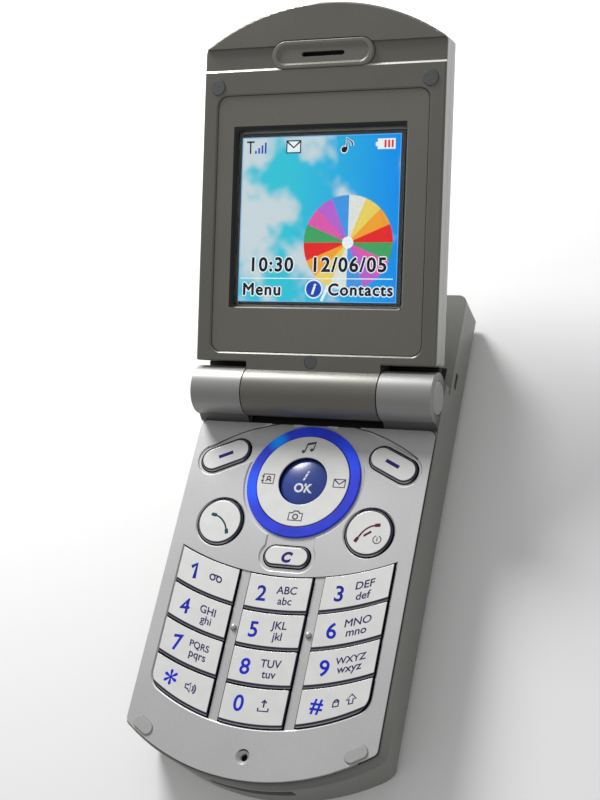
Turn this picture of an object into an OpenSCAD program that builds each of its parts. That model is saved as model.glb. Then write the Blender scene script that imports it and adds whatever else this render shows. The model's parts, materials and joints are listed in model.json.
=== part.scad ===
// Folding mobile phone, lying open on its back.
// X runs across the phone, Y from the tail to the head, Z up out of the back.
// The origin is the middle of the flat back, which rests on Z = 0.
// Most of the modules work in one of two local frames. The body frame has its origin
// on the keypad face below the hinge axis; the lid frame has it on the lid's inner
// face, with Y running along the lid and Z out of its inner face.

/* [Body] */
// Width of the body and of the lid
body_w = 43; // [40:0.5:54]
// Hinge axis to the end of the tail
tail_len = 64.6; // [62:0.2:80]
// Hinge axis to the end of the head
head_len = 22.4; // [21:0.2:30]
// Thickness of the body, back to keypad face
body_t = 12; // [11.6:0.1:16]
// Radius of the curved tail in plan
end_r = 37; // [30:1:60]
// Corner radius between the flanks and the tail
corner_r = 1.6; // [1:0.1:3]
// Height of the face plate above the case's shoulder
plate_step = 0.5; // [0.2:0.1:0.8]
// Radius of the case's shoulder round the face plate
shoulder_r = 0.8; // [0.4:0.1:1.2]
// Drop of the head's top below the keypad face
head_drop = 2.4; // [1.8:0.1:3]
// Radius of the edges round the back
back_edge_r = 3; // [1:0.1:4]
// Wall of the cases
wall = 1.4; // [1:0.1:1.8]

/* [Keypad face] */
// Thickness of the silver face plate
plate_t = 1.2; // [0.8:0.1:1.6]
// Depth of the recess round the keys and of the ribs between them
dip = 0.2; // [0.1:0.05:0.3]
// Rim of the case that shows round the face plate
plate_rim = 0.4; // [0.3:0.05:1]
// Hinge axis to the face plate's upper edge
plate_top = 4.6; // [4.4:0.1:6]
// Case floor below the face plate
floor_t = 1; // [0.8:0.1:1.4]

/* [Lid] */
// Hinge axis to the curved end of the lid
lid_len = 64.9; // [62:0.2:80]
// Hinge axis to the lid's hinge end
lid_start = 5; // [4.9:0.1:7]
// Thickness of the lid
lid_t = 8; // [7.6:0.1:11]
// Angle between the keypad face and the open lid
open_angle = 153; // [120:1:160]
// Gap between the lid and the keypad face when closed
close_gap = 0.8; // [0.75:0.05:1.2]
// Radius of the edges round the lid's outside
lid_edge_r = 4; // [2.5:0.5:4.5]
// Radius of the lid's outer edge along the hinge
lid_foot_r = 1; // [0.5:0.1:2]
// Radius of the edges round the lid's inner face
face_edge_r = 0.4; // [0.3:0.1:0.8]
// Thickness of the inner lid case
inner_t = 2.35; // [2.2:0.05:3]

/* [Hinge] */
// Height of the hinge axis above the keypad face
axis_h = 2.85; // [2.6:0.05:3.4]
// Radius of the hinge barrels
barrel_r = 4.2; // [3.8:0.1:4.6]
// Length of the middle barrel
barrel_w = 24; // [20:0.5:28]
// Inset of the ears' ends from the flanks
ear_inset = 0.15; // [0.1:0.05:1]
// Radius of the hollow hinge pin
pin_r = 2.4; // [2:0.1:2.6]
// Bore of the hollow hinge pin
pin_bore_r = 1.5; // [1:0.1:1.7]

/* [Keys] */
// Height of the keys above the face plate
key_proud = 0.3; // [0.25:0.05:0.6]
// Chamfer of the round and oval keys
key_chamfer = 0.3; // [0.1:0.05:0.35]
// Width of the slope along a number key's lower edge
row_slope_w = 0.5; // [0.2:0.05:0.7]
// Travel of a key
key_travel = 0.35; // [0.2:0.05:0.4]
// Gap round a key
key_gap = 0.22; // [0.15:0.01:0.3]
// Width of the whole number pad
pad_w = 36.8; // [34:0.2:38]
// Hinge axis to the top of the number pad, on the centre line
pad_top = 31.7; // [31:0.1:34]
// Hinge axis to the bottom of the number pad, on the centre line
pad_bottom = 56.1; // [54:0.1:57]
// Radius of the curved rows
row_r = 45.6; // [40:0.2:80]
// Radius of the number pad's lower edge
pad_end_r = 35; // [32:0.5:60]
// Corner radius of the number pad's lower corners
pad_corner_r = 3; // [2:0.1:4]
// Width of the two ribs between the columns
rib_w = 2; // [1.6:0.1:2.4]
// Width of the middle column
mid_col_w = 10.9; // [10:0.1:12]
// Gap between the rows
row_gap = 0.26; // [0.2:0.02:0.6]
// Hinge axis to the middle of the navigation key
nav_y = 14.86; // [14.4:0.02:15.4]
// Outer radius of the light ring round the navigation key
ring_r = 9.92; // [9.4:0.02:10.2]
// Width of the light ring
ring_w = 1.72; // [1.2:0.02:2]
// Radius of the key in the middle of the navigation key
ok_r = 4.11; // [3.6:0.01:4.6]
// Sideways place of a soft key
soft_x = 15; // [14.4:0.1:15.4]
// Hinge axis to the middle of a soft key
soft_y = 10.9; // [10.4:0.1:11.4]
// Length of a soft key
soft_len = 9; // [8:0.1:9.4]
// Width of a soft key
soft_w = 4.3; // [3.8:0.1:4.6]
// Slope of a soft key
soft_tilt = 25; // [15:1:30]
// Sideways place of the call and end keys
call_x = 13.11; // [12.6:0.01:14]
// Hinge axis to the middle of the call and end keys
call_y = 23; // [22.4:0.1:23.4]
// Radius of the call and end keys
call_r = 4; // [3.4:0.1:4.2]
// Hinge axis to the middle of the clear key
clear_y = 28.1; // [27.8:0.1:28.4]
// Length of the clear key
clear_len = 8; // [6.4:0.1:9]
// Width of the clear key
clear_w = 3.6; // [3:0.1:3.8]

/* [Display] */
// Width of the display frame
frame_w = 37.6; // [34:0.2:38.4]
// Hinge axis to the lower edge of the display frame
frame_y0 = 6.6; // [6.4:0.1:8]
// Hinge axis to the upper edge of the display frame
frame_y1 = 50; // [48:0.2:50.4]
// Width of the window
window_w = 30; // [26:0.2:31]
// Hinge axis to the lower edge of the window
window_y0 = 14.4; // [13:0.1:16]
// Hinge axis to the upper edge of the window
window_y1 = 44; // [42:0.1:45]

/* [Battery] */
// Width of the battery pack
battery_w = 34; // [30:0.5:35]
// Length of the battery pack
battery_len = 46.5; // [40:0.5:48]
// Thickness of the battery pack
battery_t = 5; // [4:0.1:5.2]

/* [Hidden] */
$fn = 64;

// Fits shared by the pieces
fit = 0.05;         // running clearance, and clearance of a piece in its seat
slack = 0.15;       // loose clearance of a piece that drops in
over = 1;           // how far a cutter runs past the face it cuts

// Places in the row's frame
hinge_y = (tail_len - head_len) / 2;
lid_tilt = 180 - open_angle;
axis_to_face = axis_h - close_gap;      // hinge axis to the lid's inner face

// Heights in the body frame, down from the keypad face
part_z = -4;                            // parting line of the two cases
floor_z = -(plate_t + floor_t);         // underside of the case's floor
flange_t = 0.5;
flange_top = floor_z - 0.07;
flange_out = 0.5;                       // how far a key's flange runs under the floor
mat_top = flange_top - flange_t - key_travel - 0.04;
mat_t = 0.6;
dome_gap = 0.14;
film_t = 0.1;
board_top = mat_top - mat_t - dome_gap - film_t;
board_t = 1;
board_z = board_top - board_t;          // underside of the main board
deck_z = board_z - 0.95;                // top of the deck over the battery
back_z = -body_t;
skin = 1.2;                             // back wall
board_gap = 0.4;                        // main board to the case's wall
barrel_gap = 0.35;                      // middle barrel to its channel
joint_gap = 0.2;                        // middle barrel to each ear
ear_end = body_w / 2 - ear_inset;       // middle of the phone to an ear's end
shaft_r = 1.5;
hex_r = 2.3;                            // hexagon nose of the hinge shaft
hex_len = 3.4;

// Number pad
row_pitch = (pad_bottom - pad_top - 0.15) / 4;
col_x1 = mid_col_w / 2 + rib_w;         // inner edge of an outer column
rib_x = (mid_col_w + rib_w) / 2;
nub_y = 40.6;                           // hinge axis to the small nub on each rib
nub_r = 0.55;
slope_z = 0.05;                         // foot of the number keys' slopes above the face

// Navigation key
nav_gap = 0.12;
nav_tilt_room = 0.25;
rocker_t = 0.3;
ok_dome = 0.6;                          // rise of the middle key's round top

// Recesses of the face round the other keys
keyhole_rim = 0.5;                      // round the light ring
clear_rim = 0.75;                       // round the clear key
keyhole_neck_w = 8.2;
brow_w = 5.4;                           // width of the shallow recess along a soft key
brow_in = 12.4;                         // soft key's outer end to the recess's inner end

// Microphone hole
mic_in = 3.9;                           // end of the tail to the hole
mic_r = 0.55;
mic_dish_r = 1.2;

// Rubber pads at the tail
foot_len = 3.8;
foot_w = 2;
foot_deep = 0.5;
foot_proud = 0.25;
foot_in = 1.7;                          // end of the tail to the middle of a pad

// Middle of each key, for its dome
key_spots = concat(
    [for (s = [-1, 1]) [s * soft_x, -soft_y]],
    [for (s = [-1, 1]) [s * call_x, -call_y]],
    [[0, -clear_y], [0, -nav_y]],
    [for (a = [0:90:270]) [6.2 * cos(a), -nav_y + 6.2 * sin(a)]],
    [for (c = [-1, 0, 1], n = [0:3])
        [c * (mid_col_w + pad_w / 2 + rib_w) / 2 * 0.83, -pad_top - (n + 0.5) * row_pitch + abs(c) * 1.8]]
);

// Screws of the body: sideways place, then place along the body
screw_r = 0.8;
screw_head_r = 1.6;
boss_r = 1.8;
tail_screw = [16.2, -55.2];
head_screw = [15.4, head_len - 3.9];

// Head of the body
head_cave = [35.6, head_len - 7.1];     // width and length of the hollow in the head
head_cave_y = 5.5;
speaker_at = [8.6, 12.6];
speaker_r = 6;

// Battery: its pocket opens at the back
pocket_y1 = -3;
battery_y1 = pocket_y1 - slack;
battery_y0 = battery_y1 - battery_len;
battery_end_gap = 0.4;
pocket_y0 = battery_y0 - battery_end_gap;
contact_x = 12;                         // middle of the three battery contacts
latch_half = 5;                         // half the latch's width
tab_x = 10;
tab_w = 4;
tab_r = 0.6;
tab_at = [battery_y0 - 0.6, back_z + 1.6];

// Vibration motor in the tail
motor_y = -56;
motor_z = -8.2;
motor_r = 2.1;
weight_r = 1.95;
motor_x = [-12.5, -5];
weight_x = [-4.6, -1.9];
motor_shaft_r = 0.5;

// Connector in the tail
io_w = 14;
io_h = 2.4;
io_back_y = -58.7;
io_face_y = -(tail_len - 1.1);

// Volume rocker in the left flank
rocker_y = -13;
rocker_z = -7;
rocker_len = 11;
rocker_w = 2.4;
rocker_proud = 0.35;
rocker_depth = 1.3;                     // part of the rocker inside the flank

// Lanyard eye in the right flank, near the ear
eye_y = 6.8;
eye_len = 2.8;

// Lid: heights in the lid frame, down from the inner face
frame_t = 0.6;
frame_sink = 0.25;                      // the display frame lies this far below the face
frame_corner = 1.8;
window_flare = 0.3;                     // chamfer round the window
lens_t = 0.8;
lens_z = -(frame_sink + frame_t);       // top of the lens
lens_rim = 1.5;                         // lens beyond the window
glass_z = lens_z - lens_t - 0.1;        // top of the display's glass
module_t = 2.2;
lid_board_t = 0.5;
cover_t = 1;
cave_step = 3.6;                        // the lid's hollow is narrower below this height
band_y = [54.4, 58];                    // recessed band across the lid
band_deep = 0.45;
ear_y = 56.4;                           // middle of the earpiece
grille_len = 18.2;
grille_w = 4.8;
grille_low = -0.98;                     // underside of the grille
bumper_at = [18.9, 51.5];
bumper_proud = 0.15;                    // less than the room over the keys when closed
lid_corner_r = 0.6;                     // corners of the lid's hinge end
plug_at = [-0.3, 5.2];
sub_y = 31;
sub_w = 20;
sub_len = 14;
camera_y = 50;
camera_r = 3.6;
neck_t = 5;
neck_in = 1.5;                          // the neck runs this far into the lid

// ---------------------------------------------------------------- frames

module in_body() {
    translate([0, hinge_y, body_t]) children();
}

module in_lid() {
    in_body()
        translate([0, 0, axis_h]) rotate([lid_tilt, 0, 0])
            translate([0, 0, axis_to_face]) children();
}

// ---------------------------------------------------------------- outlines

// Rectangle with round corners, about its middle
module round_rect(w, l, r) {
    square([w - 2 * r, l], center = true);
    square([w, l - 2 * r], center = true);
    for (sx = [-1, 1], sy = [-1, 1])
        translate([sx * (w / 2 - r), sy * (l / 2 - r)]) circle(r);
}

// Bar with round ends, along X
module pill(l, w) {
    square([l - w, w], center = true);
    for (s = [-1, 1]) translate([s * (l - w) / 2, 0]) circle(w / 2);
}

// Outline with a straight end at y = top, its corners r_end, and a curved end at y = -tail
module tail_plan(w, top, tail, arc_r, r, r_end) {
    arc_y = arc_r - tail;
    cx = w / 2 - r;
    cy = arc_y - sqrt(pow(arc_r - r, 2) - cx * cx);
    translate([-w / 2, cy]) square([w, top - r_end - cy]);
    translate([r_end - w / 2, cy]) square([w - 2 * r_end, top - cy]);
    for (s = [-1, 1]) {
        translate([s * cx, cy]) circle(r);
        translate([s * (w / 2 - r_end), top - r_end]) circle(r_end);
    }
    intersection() {
        translate([0, arc_y]) circle(arc_r);
        polygon([[0, arc_y], [-2 * cx, 2 * cy - arc_y], [2 * cx, 2 * cy - arc_y]]);
    }
}

// The body's or the lid's outline, drawn in by inset
module shell_plan(top, tail, inset, r_end) {
    tail_plan(body_w - 2 * inset, top, tail - inset, end_r - inset,
              max(corner_r - inset, 0.5), max(r_end - inset, 0.5));
}

// Round bar along X that grows by grow over its height h
module pill_taper(l, w, h, grow) {
    for (s = [-1, 1]) translate([s * (l - w) / 2, 0, 0])
        cylinder(h = h, r1 = w / 2, r2 = w / 2 + grow);
    rotate([90, 0, 90]) linear_extrude(l - w, center = true)
        polygon([[-w / 2, 0], [w / 2, 0], [w / 2 + grow, h], [-w / 2 - grow, h]]);
}

// Block with round corners that grows by grow over its height h
module rect_taper(w, l, r, h, grow) {
    for (sx = [-1, 1], sy = [-1, 1]) translate([sx * (w / 2 - r), sy * (l / 2 - r), 0])
        cylinder(h = h, r1 = r, r2 = r + grow);
    rotate([90, 0, 0]) linear_extrude(l - 2 * r, center = true)
        polygon([[-w / 2, 0], [w / 2, 0], [w / 2 + grow, h], [-w / 2 - grow, h]]);
    rotate([90, 0, 90]) linear_extrude(w - 2 * r, center = true)
        polygon([[-l / 2, 0], [l / 2, 0], [l / 2 + grow, h], [-l / 2 - grow, h]]);
}

// Section with its top at 0: r_top rounds the upper edges and r_low the lower ones
module edge_section(w, t, r_top, r_low) {
    translate([-w / 2 + r_top, -t + r_low]) square([w - 2 * r_top, t - r_low]);
    translate([-w / 2, -t + r_low]) square([w, t - r_low - r_top]);
    translate([-w / 2 + r_low, -t]) square([w - 2 * r_low, t - r_top]);
    for (s = [-1, 1]) {
        translate([s * (w / 2 - r_top), -r_top]) circle(r_top);
        translate([s * (w / 2 - r_low), -t + r_low]) circle(r_low);
    }
}

// Half of that section, for a rim turned about Z
module rim_section(r, t, r_top, r_low) {
    intersection() {
        edge_section(2 * r, t, r_top, r_low);
        translate([0, -t]) square([r, t]);
    }
}

// Solid with the outline above and round edges: the flanks, the tail and the straight end
module soft_block(top, tail, t, r_top, r_low, r_end, r_foot) {
    len_y = top + tail;
    arc_y = end_r - tail;
    intersection() {
        translate([0, 0, -t]) linear_extrude(t) shell_plan(top, tail, 0, r_end);
        translate([0, top, 0]) rotate([90, 0, 0])
            linear_extrude(len_y) edge_section(body_w, t, r_top, r_low);
        translate([-body_w, top - len_y, 0]) rotate([90, 0, 90]) linear_extrude(2 * body_w)
            edge_section(2 * len_y, t, r_top, r_foot);
        union() {
            translate([0, arc_y, 0]) rotate_extrude() rim_section(end_r, t, r_top, r_low);
            translate([-body_w, arc_y, -t]) cube([2 * body_w, top - arc_y, t]);
        }
    }
}

// A slab of the outline between two heights
module plan_slab(top, tail, inset, z0, z1, r_end = corner_r) {
    translate([0, 0, z0]) linear_extrude(z1 - z0) shell_plan(top, tail, inset, r_end);
}

// Plain box given by two corners
module span(a, b) {
    translate(a) cube(b - a);
}

// Round bar along X, about the hinge axis in the body frame
module axis_bar(x0, x1, r) {
    translate([x0, 0, axis_h]) rotate([0, 90, 0]) cylinder(h = x1 - x0, r = r);
}

module at_body_screws() {
    for (s = [-1, 1], p = [tail_screw, head_screw]) translate([s * p[0], p[1], 0]) children();
}

// ---------------------------------------------------------------- keypad outlines

// What lies above the n-th row line of the number pad, moved down by d
module above_row(n, d) {
    translate([0, row_r - pad_top - n * row_pitch]) circle(row_r + d);
}

// Outline of the number pad, grown by g
module pad_plan(g) {
    tail_plan(pad_w + 2 * g, -pad_top / 2, pad_bottom + g, pad_end_r + g, pad_corner_r + g, 1);
}

// The pad's curved end and sides as a solid that grows by h over its height h
module pad_taper(g, h) {
    w = pad_w + 2 * g;
    r = pad_corner_r + g;
    arc_r = pad_end_r + g;
    arc_y = pad_end_r - pad_bottom;
    cx = w / 2 - r;
    cy = arc_y - sqrt(pow(arc_r - r, 2) - cx * cx);
    for (s = [-1, 1]) translate([s * cx, cy, 0]) cylinder(h = h, r1 = r, r2 = r + h);
    translate([0, cy, 0]) rotate([90, 0, 180]) linear_extrude(-pad_top / 2 - cy)
        polygon([[-w / 2, 0], [w / 2, 0], [w / 2 + h, h], [-w / 2 - h, h]]);
    intersection() {
        translate([0, arc_y, 0]) cylinder(h = h, r1 = arc_r, r2 = arc_r + h);
        linear_extrude(h) polygon([[0, arc_y], [-2 * cx, 2 * cy - arc_y], [2 * cx, 2 * cy - arc_y]]);
    }
}

// Strip of one column, -1, 0 or 1, grown by g
module column(c, g) {
    x0 = c == 0 ? -mid_col_w / 2 : c > 0 ? col_x1 : -pad_w / 2;
    x1 = c == 0 ? mid_col_w / 2 : c > 0 ? pad_w / 2 : -col_x1;
    translate([x0 - g, -pad_bottom - over]) square([x1 - x0 + 2 * g, pad_bottom]);
}

// Outline of one number key in column c and row n, with its sides grown by g
module number_plan(c, n, g) {
    difference() {
        intersection() {
            pad_plan(min(g, flange_out));
            column(c, g);
            if (n < 3) above_row(n + 1, -row_gap / 2);
        }
        above_row(n, n == 0 ? -min(g, 0) : row_gap / 2);
    }
}

// Opening of a whole column
module column_plan(c, g) {
    difference() {
        intersection() {
            pad_plan(g);
            column(c, g);
        }
        above_row(0, -g);
    }
}

module at_soft(s) {
    translate([s * soft_x, -soft_y, 0]) rotate(-s * soft_tilt) children();
}

module soft_plan(s, g) {
    at_soft(s) pill(soft_len + 2 * g, soft_w + 2 * g);
}

module clear_plan(g) {
    translate([0, -clear_y]) pill(clear_len + 2 * g, clear_w + 2 * g);
}

// Shallow recesses of the face, with sloping walls, from their floor upwards
module face_recesses() {
    h = dip + 0.1;
    // number pad, down to the ribs
    difference() {
        pad_taper(key_gap + 0.03, h);
        translate([0, row_r - pad_top, -over]) cylinder(h = h + 2 * over, r = row_r - key_gap - 0.03);
    }
    // light ring, clear key and what joins them
    translate([0, -nav_y, 0])
        cylinder(h = h, r1 = ring_r + keyhole_rim, r2 = ring_r + keyhole_rim + h);
    translate([0, -clear_y, 0]) pill_taper(clear_len + 2 * clear_rim, clear_w + 2 * clear_rim, h, h);
    translate([0, -nav_y, 0]) rotate([90, 0, 0]) linear_extrude(clear_y - nav_y)
        polygon([[-keyhole_neck_w / 2, 0], [keyhole_neck_w / 2, 0],
                 [keyhole_neck_w / 2 + h, h], [-keyhole_neck_w / 2 - h, h]]);
    // soft keys, up to the plate's edge
    for (s = [-1, 1]) at_soft(s)
        translate([s * (soft_len - soft_w - brow_in) / 2, 0, 0])
            pill_taper(brow_in + brow_w, brow_w, h, h);
    // call and end keys
    for (s = [-1, 1]) translate([s * call_x, -call_y, 0])
        cylinder(h = h, r1 = call_r + key_gap + 0.02, r2 = call_r + key_gap + 0.02 + h);
}

module key_openings() {
    for (c = [-1, 0, 1]) column_plan(c, key_gap);
    for (s = [-1, 1]) {
        soft_plan(s, key_gap);
        translate([s * call_x, -call_y]) circle(call_r + key_gap);
    }
    clear_plan(key_gap);
}

// Every opening that the face plate has
module face_openings() {
    key_openings();
    translate([0, -nav_y]) circle(ring_r + fit);
}

// Openings of the floor below it: the ring keeps a ledge to sit on
module floor_openings() {
    key_openings();
    translate([0, -nav_y]) circle(ring_r - ring_w + fit);
}

// Key with its cap through the face, its top left off by cut, and its flange under the floor
module key_solid(cut) {
    translate([0, 0, flange_top - flange_t]) linear_extrude(key_proud - cut - flange_top + flange_t)
        children(0);
    translate([0, 0, flange_top - flange_t]) linear_extrude(flange_t) children(1);
}

// ---------------------------------------------------------------- body

// The whole body before it is parted, with the low head
module body_form() {
    difference() {
        translate([0, 0, -plate_step])
            soft_block(head_len, tail_len, body_t - plate_step, shoulder_r, back_edge_r, corner_r,
                       back_edge_r);
        span([-body_w, 3.2, -head_drop], [body_w, head_len + over, over]);
    }
}

// Ears with a foot in front that meets the face plate, and a web down to the head
module ears() {
    inner = barrel_w / 2 + joint_gap;
    front = plate_top - 0.1;
    web = barrel_r * cos(22);
    for (x0 = [-ear_end, inner]) {
        axis_bar(x0, x0 + ear_end - inner, barrel_r);
        translate([x0, 0, 0]) rotate([90, 0, 90]) linear_extrude(ear_end - inner)
            polygon([[-front, -plate_t], [-front, 0], [-web, axis_h - barrel_r * sin(22)], [0, axis_h],
                     [web, axis_h - barrel_r * sin(22)], [4.4, -head_drop], [4.4, -head_drop - 1],
                     [0, -head_drop - 1], [0, -plate_t]]);
    }
}

module lanyard_eye() {
    x0 = body_w / 2 - 2.5;
    top = [x0, eye_y - eye_len / 2, -head_drop - 2.6];
    span(top, [x0 + 1.2, eye_y + eye_len / 2, over]);
    span(top, [body_w, eye_y + eye_len / 2, -head_drop - 1.4]);
}

module front_case() {
    channel_half = barrel_w / 2 + joint_gap;
    color([0.42, 0.42, 0.40]) in_body() difference() {
        union() {
            difference() {
                intersection() {
                    body_form();
                    span([-body_w, -tail_len - over, part_z], [body_w, head_len + over, over]);
                }
                // seat of the face plate
                plan_slab(-plate_top + fit, tail_len, plate_rim - fit, -plate_t, over);
                // room for the key flanges and the mat
                difference() {
                    plan_slab(-plate_top - 0.6, tail_len, wall, part_z - over, floor_z);
                    for (s = [-1, 1]) translate([s * tail_screw[0], tail_screw[1], part_z - over])
                        cylinder(h = body_t, r = boss_r);
                }
                translate([0, 0, floor_z - over]) linear_extrude(floor_t + 2 * over)
                    floor_openings();
                // sound hole of the microphone
                translate([0, mic_in - tail_len, floor_z - over]) cylinder(h = body_t, r = mic_r + 0.15);
            }
            ears();
        }
        axis_bar(-channel_half, channel_half, barrel_r + barrel_gap);
        // left ear: seat of the hinge cartridge, with its key
        axis_bar(-body_w, -channel_half + over, pin_r + 0.45 + fit);
        span([-body_w, -0.55, axis_h - 3.4], [-channel_half + over, 0.55, axis_h]);
        // right ear: seat of the hollow pin, and of the cap
        axis_bar(channel_half - over, body_w, pin_r + fit / 2);
        axis_bar(ear_end - 1, body_w, pin_r + 0.45 + fit);
        lanyard_eye();
        at_body_screws() translate([0, 0, part_z - over])
            cylinder(h = over + 1.4, r = screw_r + fit / 2);
    }
}

module face_plate() {
    color([0.80, 0.80, 0.80]) in_body() difference() {
        plan_slab(-plate_top, tail_len, plate_rim, -plate_t, 0);
        translate([0, 0, -plate_t - over]) linear_extrude(plate_t + 2 * over) face_openings();
        translate([0, 0, -dip]) face_recesses();
        // dished sound hole
        translate([0, mic_in - tail_len, 0]) {
            translate([0, 0, -plate_t - over]) cylinder(h = plate_t + 2 * over, r = mic_r);
            translate([0, 0, mic_r - mic_dish_r])
                cylinder(h = mic_dish_r - mic_r + 0.1, r1 = mic_r, r2 = mic_dish_r + 0.1);
        }
        for (s = [-1, 1]) foot_seat(s) translate([0, 0, -foot_deep]) linear_extrude(over)
            pill(foot_len + 2 * fit, foot_w + 2 * fit);
    }
    // nub on each rib
    color([0.80, 0.80, 0.80]) in_body() for (s = [-1, 1]) translate([s * rib_x, -nub_y, -dip])
        sphere(nub_r);
}

// Places one of the two pads along the curved tail
module foot_seat(s) {
    arc_y = end_r - tail_len;
    turn = asin((body_w / 2 - 3.6) / (end_r - foot_in));
    translate([0, arc_y, 0]) rotate(s * turn) translate([0, foot_in - end_r, 0]) children();
}

module foot_pads() {
    color([0.66, 0.66, 0.65]) in_body() for (s = [-1, 1]) foot_seat(s)
        translate([0, 0, -foot_deep]) linear_extrude(foot_deep + foot_proud)
            pill(foot_len, foot_w);
}

module battery_pocket() {
    translate([0, (pocket_y0 + pocket_y1) / 2, back_z - over])
        linear_extrude(battery_t + slack + over)
            round_rect(battery_w + 2 * slack, pocket_y1 - pocket_y0, 1.6);
    for (s = [-1, 1]) span(
        [s * tab_x - tab_w / 2 - slack, tab_at[0] - tab_r - 0.3, tab_at[1] - tab_r - 0.25],
        [s * tab_x + tab_w / 2 + slack, pocket_y0 + over, tab_at[1] + tab_r + 0.25]);
}

module rear_case() {
    color([0.36, 0.36, 0.34]) in_body() difference() {
        intersection() {
            body_form();
            span([-body_w, -tail_len - over, back_z], [body_w, head_len + over, part_z]);
        }
        // room for the main board, with the posts left standing
        difference() {
            union() {
                plan_slab(head_len - wall, tail_len, wall, deck_z, part_z + over);
                span([-head_cave[0] / 2, head_cave_y, back_z + skin],
                     [head_cave[0] / 2, head_cave_y + head_cave[1], part_z + over]);
            }
            at_body_screws() translate([0, 0, back_z]) cylinder(h = body_t, r = boss_r);
            span([body_w / 2 - 3.7, eye_y - 2.4, back_z], [body_w, eye_y + 2.4, part_z + over]);
        }
        at_body_screws() {
            translate([0, 0, back_z - over]) cylinder(h = body_t, r = screw_r + 0.1);
            translate([0, 0, back_z - over]) cylinder(h = over + 1.5, r = screw_head_r + 0.1);
        }
        battery_pocket();
        // latch slide
        span([-latch_half - slack, pocket_y1 - over, back_z - over], [latch_half + slack, 4, back_z + 2]);
        // battery contacts
        span([contact_x - 3 - slack, pocket_y1 - over, back_z + 2.4],
             [contact_x + 3 + slack, pocket_y1 + 1.8, back_z + 5.2]);
        // vibration motor
        span([motor_x[0] - 0.3, motor_y - motor_r - 0.2, motor_z - motor_r - 0.2],
             [weight_x[1] + 0.8, motor_y + motor_r + 0.2, deck_z + over]);
        // connector
        span([-io_w / 2 - fit, -tail_len - over, board_z - io_h - 2 * fit],
             [io_w / 2 + fit, io_back_y + fit, deck_z + over]);
        // volume rocker
        translate([-body_w / 2 + rocker_depth + 0.3, rocker_y, rocker_z]) rotate([90, 0, -90])
            linear_extrude(rocker_depth + 2) pill(rocker_len + 0.3, rocker_w + 0.3);
        // loudspeaker slots
        for (i = [-2:2]) translate([speaker_at[0], speaker_at[1] + 1.8 * i, back_z - over])
            linear_extrude(skin + 2 * over) pill(2 * sqrt(20 - pow(1.8 * i, 2)), 0.8);
        lanyard_eye();
    }
}

module keypad_mat() {
    color([0.75, 0.78, 0.82]) in_body() difference() {
        translate([0, 0, mat_top - mat_t]) linear_extrude(mat_t)
            tail_plan(pad_w + 1.8, -plate_top - 1.2, pad_bottom + 1.4, pad_end_r + 1, 3, 3);
        at_body_screws() translate([0, 0, -body_t]) cylinder(h = body_t, r = boss_r + 0.3);
    }
}

module dome_sheet() {
    dome_h = 0.08;
    color([0.85, 0.78, 0.55]) in_body() {
        difference() {
            translate([0, 0, board_top]) linear_extrude(film_t)
                tail_plan(pad_w + 1.4, -plate_top - 1.6, pad_bottom + 1.2, pad_end_r + 1, 3, 3);
            at_body_screws() translate([0, 0, -body_t]) cylinder(h = body_t, r = boss_r + 0.3);
        }
        for (p = key_spots) translate([p[0], p[1], board_top + film_t])
            cylinder(h = dome_h, r1 = 2.2, r2 = 1.4);
    }
}

module main_board() {
    color([0.10, 0.35, 0.20]) in_body() difference() {
        plan_slab(head_cave_y - 1.5, tail_len, wall + board_gap, board_z, board_top - 0.02);
        at_body_screws() translate([0, 0, -body_t]) cylinder(h = body_t, r = boss_r + 0.2);
    }
}

module shield_cans() {
    can_h = 0.8;
    color([0.72, 0.72, 0.74]) in_body() for (y = [-46, -22])
        translate([0, y, board_z - can_h - 0.02]) linear_extrude(can_h) round_rect(26, 19, 1);
}

module nav_light_ring() {
    color([0.12, 0.20, 0.90]) in_body() translate([0, -nav_y, -plate_t]) difference() {
        cylinder(h = plate_t + 0.2, r = ring_r);
        translate([0, 0, -over]) cylinder(h = plate_t + 3 * over, r = ring_r - ring_w);
    }
}

module microphone() {
    color([0.70, 0.65, 0.45]) in_body() translate([0, mic_in - tail_len, floor_z - 1.5])
        cylinder(h = 1.45, r = 1.6);
}

module body_screws() {
    color([0.55, 0.55, 0.57]) in_body() at_body_screws() {
        translate([0, 0, back_z + 0.5]) difference() {
            cylinder(h = 1, r = screw_head_r);
            for (a = [0, 90]) rotate(a) translate([-1.1, -0.2, -over]) cube([2.2, 0.4, over + 0.5]);
        }
        translate([0, 0, back_z + 1.4]) cylinder(h = part_z + 1 - back_z - 1.4 - 0.7, r = screw_r);
    }
}

module hinge_cartridge() {
    x1 = -barrel_w / 2 - joint_gap - 0.1;
    x0 = -ear_end + 1.1;
    color([0.60, 0.60, 0.62]) in_body() difference() {
        union() {
            axis_bar(x0, x1, pin_r + 0.45);
            span([x0, -0.5, axis_h - 3.3], [x1, 0.5, axis_h]);
        }
        axis_bar(x0 + 1.2, x1 + over, shaft_r + fit);
    }
}

module hinge_shaft() {
    color([0.50, 0.50, 0.52]) in_body() {
        axis_bar(-ear_end + 2.6, -barrel_w / 2 + 0.1, shaft_r);
        translate([-barrel_w / 2 + 0.1, 0, axis_h]) rotate([lid_tilt, 0, 0]) rotate([0, 90, 0])
            cylinder(h = hex_len, r = hex_r, $fn = 6);
    }
}

module hinge_pin() {
    color([0.60, 0.60, 0.62]) in_body() difference() {
        axis_bar(barrel_w / 2 - 4, ear_end - 1.1, pin_r);
        axis_bar(0, body_w, pin_bore_r);
    }
}

module hinge_caps() {
    color([0.60, 0.60, 0.59]) in_body() for (s = [-1, 1]) translate([s * (ear_end - 0.95), 0, axis_h])
        rotate([0, s * 90, 0]) {
            cylinder(h = 0.95, r = pin_r + 0.4);
            translate([0, 0, 0.95]) cylinder(h = 0.2, r1 = pin_r + 0.4, r2 = pin_r + 0.1);
        }
}

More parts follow.
